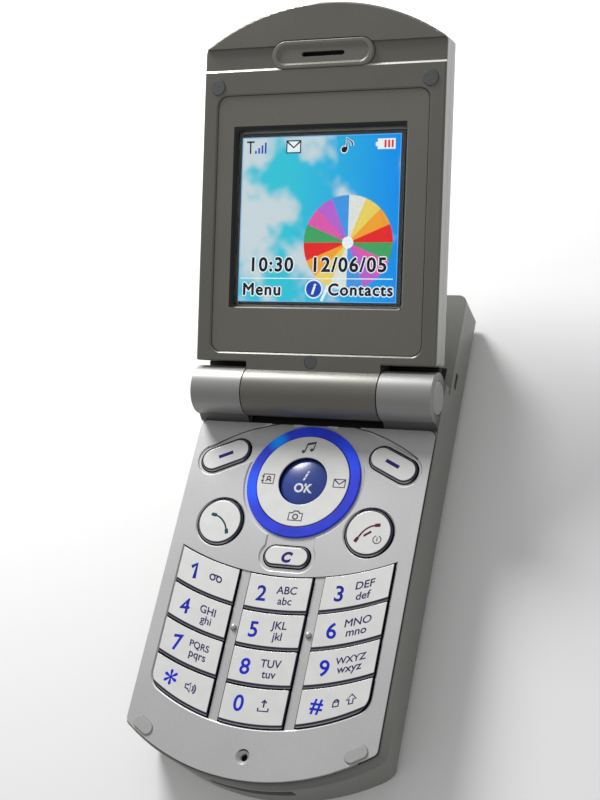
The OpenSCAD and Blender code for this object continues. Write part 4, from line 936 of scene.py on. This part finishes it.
class PHONE_OT_display_picture(bpy.types.Operator):
    """Lit picture of the display: sky, clouds, a pinwheel, signs and labels"""
    bl_idname = "phone.display_picture"
    bl_label = "Display Picture"

    WIDTH = 28.5
    HEIGHT = 27.8
    MIDDLE = (-0.45, 29.15)
    TOP = -1.75
    # clock, date and soft key labels: from the picture's lower left corner, and their size
    WORDS = (("10:30", 6.25, 6.3, 3.3), ("12/06/05", 20.2, 6.3, 3.35),
             ("Menu", 4.4, 2.1, 2.9), ("Contacts", 22.2, 2.15, 2.75))

    def sky(self):
        material, tree, shader = new_material("display_sky", 0.5)
        shader.inputs["Specular IOR Level"].default_value = 0
        place = in_lid(tree)
        cloud = add(tree, "ShaderNodeTexNoise", Scale=85, Detail=3, Roughness=0.55)
        tree.links.new(place, cloud.inputs["Vector"])
        side = graded(tree, split(tree, place)["X"], -14 * MM, 14 * MM)
        blue = ramp(tree, side, (0.03, 0.52, 0.66), (0.0, 0.25, 0.80), 0.3, 1.0)
        # fewer clouds towards the right
        thin = add(tree, "ShaderNodeMath", operation="MULTIPLY_ADD")
        thin.inputs[1].default_value = -0.22
        tree.links.new(side, thin.inputs[0])
        tree.links.new(cloud.outputs["Fac"], thin.inputs[2])
        cover = graded(tree, thin.outputs[0], 0.36, 0.50, interpolation_type="SMOOTHSTEP")
        colour = mix(tree, cover, blue, (0.56, 0.66, 0.70))
        shader.inputs["Base Color"].default_value = (0.01, 0.01, 0.01, 1)
        tree.links.new(colour, shader.inputs["Emission Color"])
        shader.inputs["Emission Strength"].default_value = 1.0
        return material

    def patch(self, low, high, z, material, cuts=0):
        """A lit rectangle between two corners."""
        let_go()
        bpy.ops.mesh.primitive_plane_add(size=1, enter_editmode=True)
        size = ((high[0] - low[0]) * MM, (high[1] - low[1]) * MM, 1)
        bpy.ops.transform.resize(value=size)
        bpy.ops.transform.translate(value=((low[0] + high[0]) / 2 * MM, (low[1] + high[1]) / 2 * MM,
                                           z * MM))
        if cuts:
            bpy.ops.mesh.subdivide(number_cuts=cuts)
        bpy.ops.object.mode_set(mode="OBJECT")
        piece = bpy.context.object
        piece.data.materials.append(material)
        return piece

    def wheel(self, at, radius, z, colours):
        """A pinwheel: a disc of coloured blades, each of the colours twice."""
        let_go()
        bpy.ops.mesh.primitive_circle_add(vertices=48, radius=radius * MM, fill_type="TRIFAN",
                                          location=(at[0] * MM, at[1] * MM, z * MM))
        piece = bpy.context.object
        for i, colour in enumerate(colours):
            piece.data.materials.append(glowing(f"blade_{i + 1}", colour))
        for face in piece.data.polygons:
            angle = math.atan2(face.center.y, face.center.x) + math.pi
            face.material_index = int(angle / (2 * math.pi) * 16) % len(colours)
        return settle(piece, Matrix.Identity(4))

    def execute(self, context):
        x0, x1 = self.MIDDLE[0] - self.WIDTH / 2, self.MIDDLE[0] + self.WIDTH / 2
        y0, y1 = self.MIDDLE[1] - self.HEIGHT / 2, self.MIDDLE[1] + self.HEIGHT / 2
        z, ink = self.TOP + 0.02, 0.01 * MM
        black = glowing("display_black_ink", (0.005, 0.005, 0.012))
        pale = glowing("display_pale", (0.80, 0.88, 0.92))
        blue = glowing("display_blue", (0.01, 0.06, 0.45))
        red = glowing("display_red", (0.75, 0.02, 0.03))
        parts = [self.patch((x0, y0), (x1, y1), z, self.sky(), 1)]
        colours = [(0.75, 0.02, 0.02), (0.85, 0.35, 0.03), (0.80, 0.62, 0.12), (0.72, 0.75, 0.70),
                   (0.05, 0.30, 0.75), (0.45, 0.12, 0.60), (0.70, 0.10, 0.40), (0.05, 0.35, 0.12)]
        hub = (5.0, 25.2)
        parts.append(self.wheel(hub, 7.9, z + 0.02, colours))
        parts.append(stroke([hub, (0.6, y0 + 0.2)], 0.5 * MM, z + 0.01, pale, ink))
        parts.append(dot(hub, 1.0, z + 0.03, pale, ink))
        # thin lit lines round the picture and above the labels
        edge = glowing("display_edge", (0.10, 0.45, 0.95))
        thin = 0.16 * MM
        parts.append(stroke([(x0 + 0.1, y0 + 0.1), (x0 + 0.1, y1 - 0.1), (x1 - 0.1, y1 - 0.1),
                             (x1 - 0.1, y0 + 0.1)], thin, z + 0.02, edge, ink, True))
        parts.append(stroke([(x0 + 0.4, y0 + 3.95), (x1 - 0.7, y0 + 3.95)], thin, z + 0.03, pale, ink))
        # signs along the top: aerial and bars, letter, note and battery
        top, fine = y1 - 1.75, 0.28 * MM
        parts.append(stroke([(x0 + 0.8, top + 1.0), (x0 + 2.2, top + 1.0)], fine, z + 0.04, black, ink))
        parts.append(stroke([(x0 + 1.5, top + 1.0), (x0 + 1.5, top - 1.0)], fine, z + 0.04, black, ink))
        for i in range(4):
            x = x0 + 2.5 + 0.6 * i
            parts.append(stroke([(x, top - 1.0), (x, top - 0.5 + 0.45 * i)], 0.32 * MM, z + 0.04, blue, ink))
        x = x0 + 9.45
        parts.append(self.patch((x - 1.25, top - 1.0), (x + 1.25, top + 1.0), z + 0.03, pale))
        parts.append(stroke([(x - 1.25, top - 1.0), (x - 1.25, top + 1.0), (x + 1.25, top + 1.0),
                             (x + 1.25, top - 1.0)], fine, z + 0.04, black, ink, True))
        parts.append(stroke([(x - 1.25, top + 0.95), (x, top - 0.15), (x + 1.25, top + 0.95)],
                            fine, z + 0.04, black, ink))
        x = x0 + 19.0
        note = [(x, top - 0.7), (x, top + 1.15), (x + 0.9, top + 0.45), (x + 0.95, top - 0.1)]
        for paint, grow, lift in ((pale, 0.3, 0.03), (black, 0, 0.04)):
            parts.append(dot((x - 0.45, top - 0.7), 0.5 + grow / 2, z + lift, paint, ink))
            parts.append(stroke(note, fine + grow * MM, z + lift, paint, ink))
        x = x1 - 4.1
        parts.append(self.patch((x, top - 0.8), (x + 3.1, top + 0.95), z + 0.03, pale))
        parts.append(self.patch((x - 0.35, top - 0.3), (x, top + 0.4), z + 0.03, pale))
        for i in range(3):
            parts.append(stroke([(x + 1.35 + 0.62 * i, top - 0.55), (x + 1.35 + 0.62 * i, top + 0.7)],
                                0.36 * MM, z + 0.045, red, ink))
        # clock, date and the labels of the soft keys
        for words, right, up, size in self.WORDS:
            for paint, lift, bold in ((pale, 0.03, 0.27), (black, 0.05, 0.09)):
                parts.append(lettering(words, size * MM, (x0 + right, y0 + up, z + lift), paint, ink,
                                       bold=bold * MM, spacing=1.14))
        badge = (x0 + 13.9, y0 + 2.2)
        parts.append(dot(badge, 1.6, z + 0.03, pale, ink))
        parts.append(dot(badge, 1.38, z + 0.04, blue, ink))
        parts.append(lettering("i", 2.5 * MM, (*badge, z + 0.06), pale, ink, bold=0.1 * MM, slant=0.3))
        joined("display_picture", parts, "lid", LID)
        return {"FINISHED"}


class PHONE_PT_panel(bpy.types.Panel):
    bl_label = "Folding Phone"
    bl_idname = "PHONE_PT_panel"
    bl_space_type = "VIEW_3D"
    bl_region_type = "UI"
    bl_category = "Phone"

    def draw(self, context):
        for step in STEPS:
            self.layout.operator(step.bl_idname)
        for group in (context.scene.phone_finish, context.scene.phone_legends, context.scene.phone_stage):
            for name in group.bl_rna.properties.keys():
                if name not in ("rna_type", "name"):
                    self.layout.prop(group, name)


STEPS = (PHONE_OT_stage, PHONE_OT_body_finish, PHONE_OT_lid_finish, PHONE_OT_lid_lip, PHONE_OT_inner_finish,
         PHONE_OT_key_finish, PHONE_OT_number_legends, PHONE_OT_control_legends,
         PHONE_OT_display_picture)
CLASSES = (PhoneFinishSettings, PhoneLegendSettings, PhoneStageSettings, *STEPS, PHONE_PT_panel)


def register():
    for one in CLASSES:
        bpy.utils.register_class(one)
    bpy.types.Scene.phone_finish = bpy.props.PointerProperty(type=PhoneFinishSettings)
    bpy.types.Scene.phone_legends = bpy.props.PointerProperty(type=PhoneLegendSettings)
    bpy.types.Scene.phone_stage = bpy.props.PointerProperty(type=PhoneStageSettings)


def unregister():
    del bpy.types.Scene.phone_finish
    del bpy.types.Scene.phone_legends
    del bpy.types.Scene.phone_stage
    for one in reversed(CLASSES):
        bpy.utils.unregister_class(one)


def main():
    register()
    bpy.ops.phone.stage()
    bpy.ops.phone.body_finish()
    bpy.ops.phone.lid_finish()
    bpy.ops.phone.lid_lip()
    bpy.ops.phone.inner_finish()
    bpy.ops.phone.key_finish()
    bpy.ops.phone.number_legends()
    bpy.ops.phone.control_legends()
    bpy.ops.phone.display_picture()


if __name__ == "__main__":
    main()
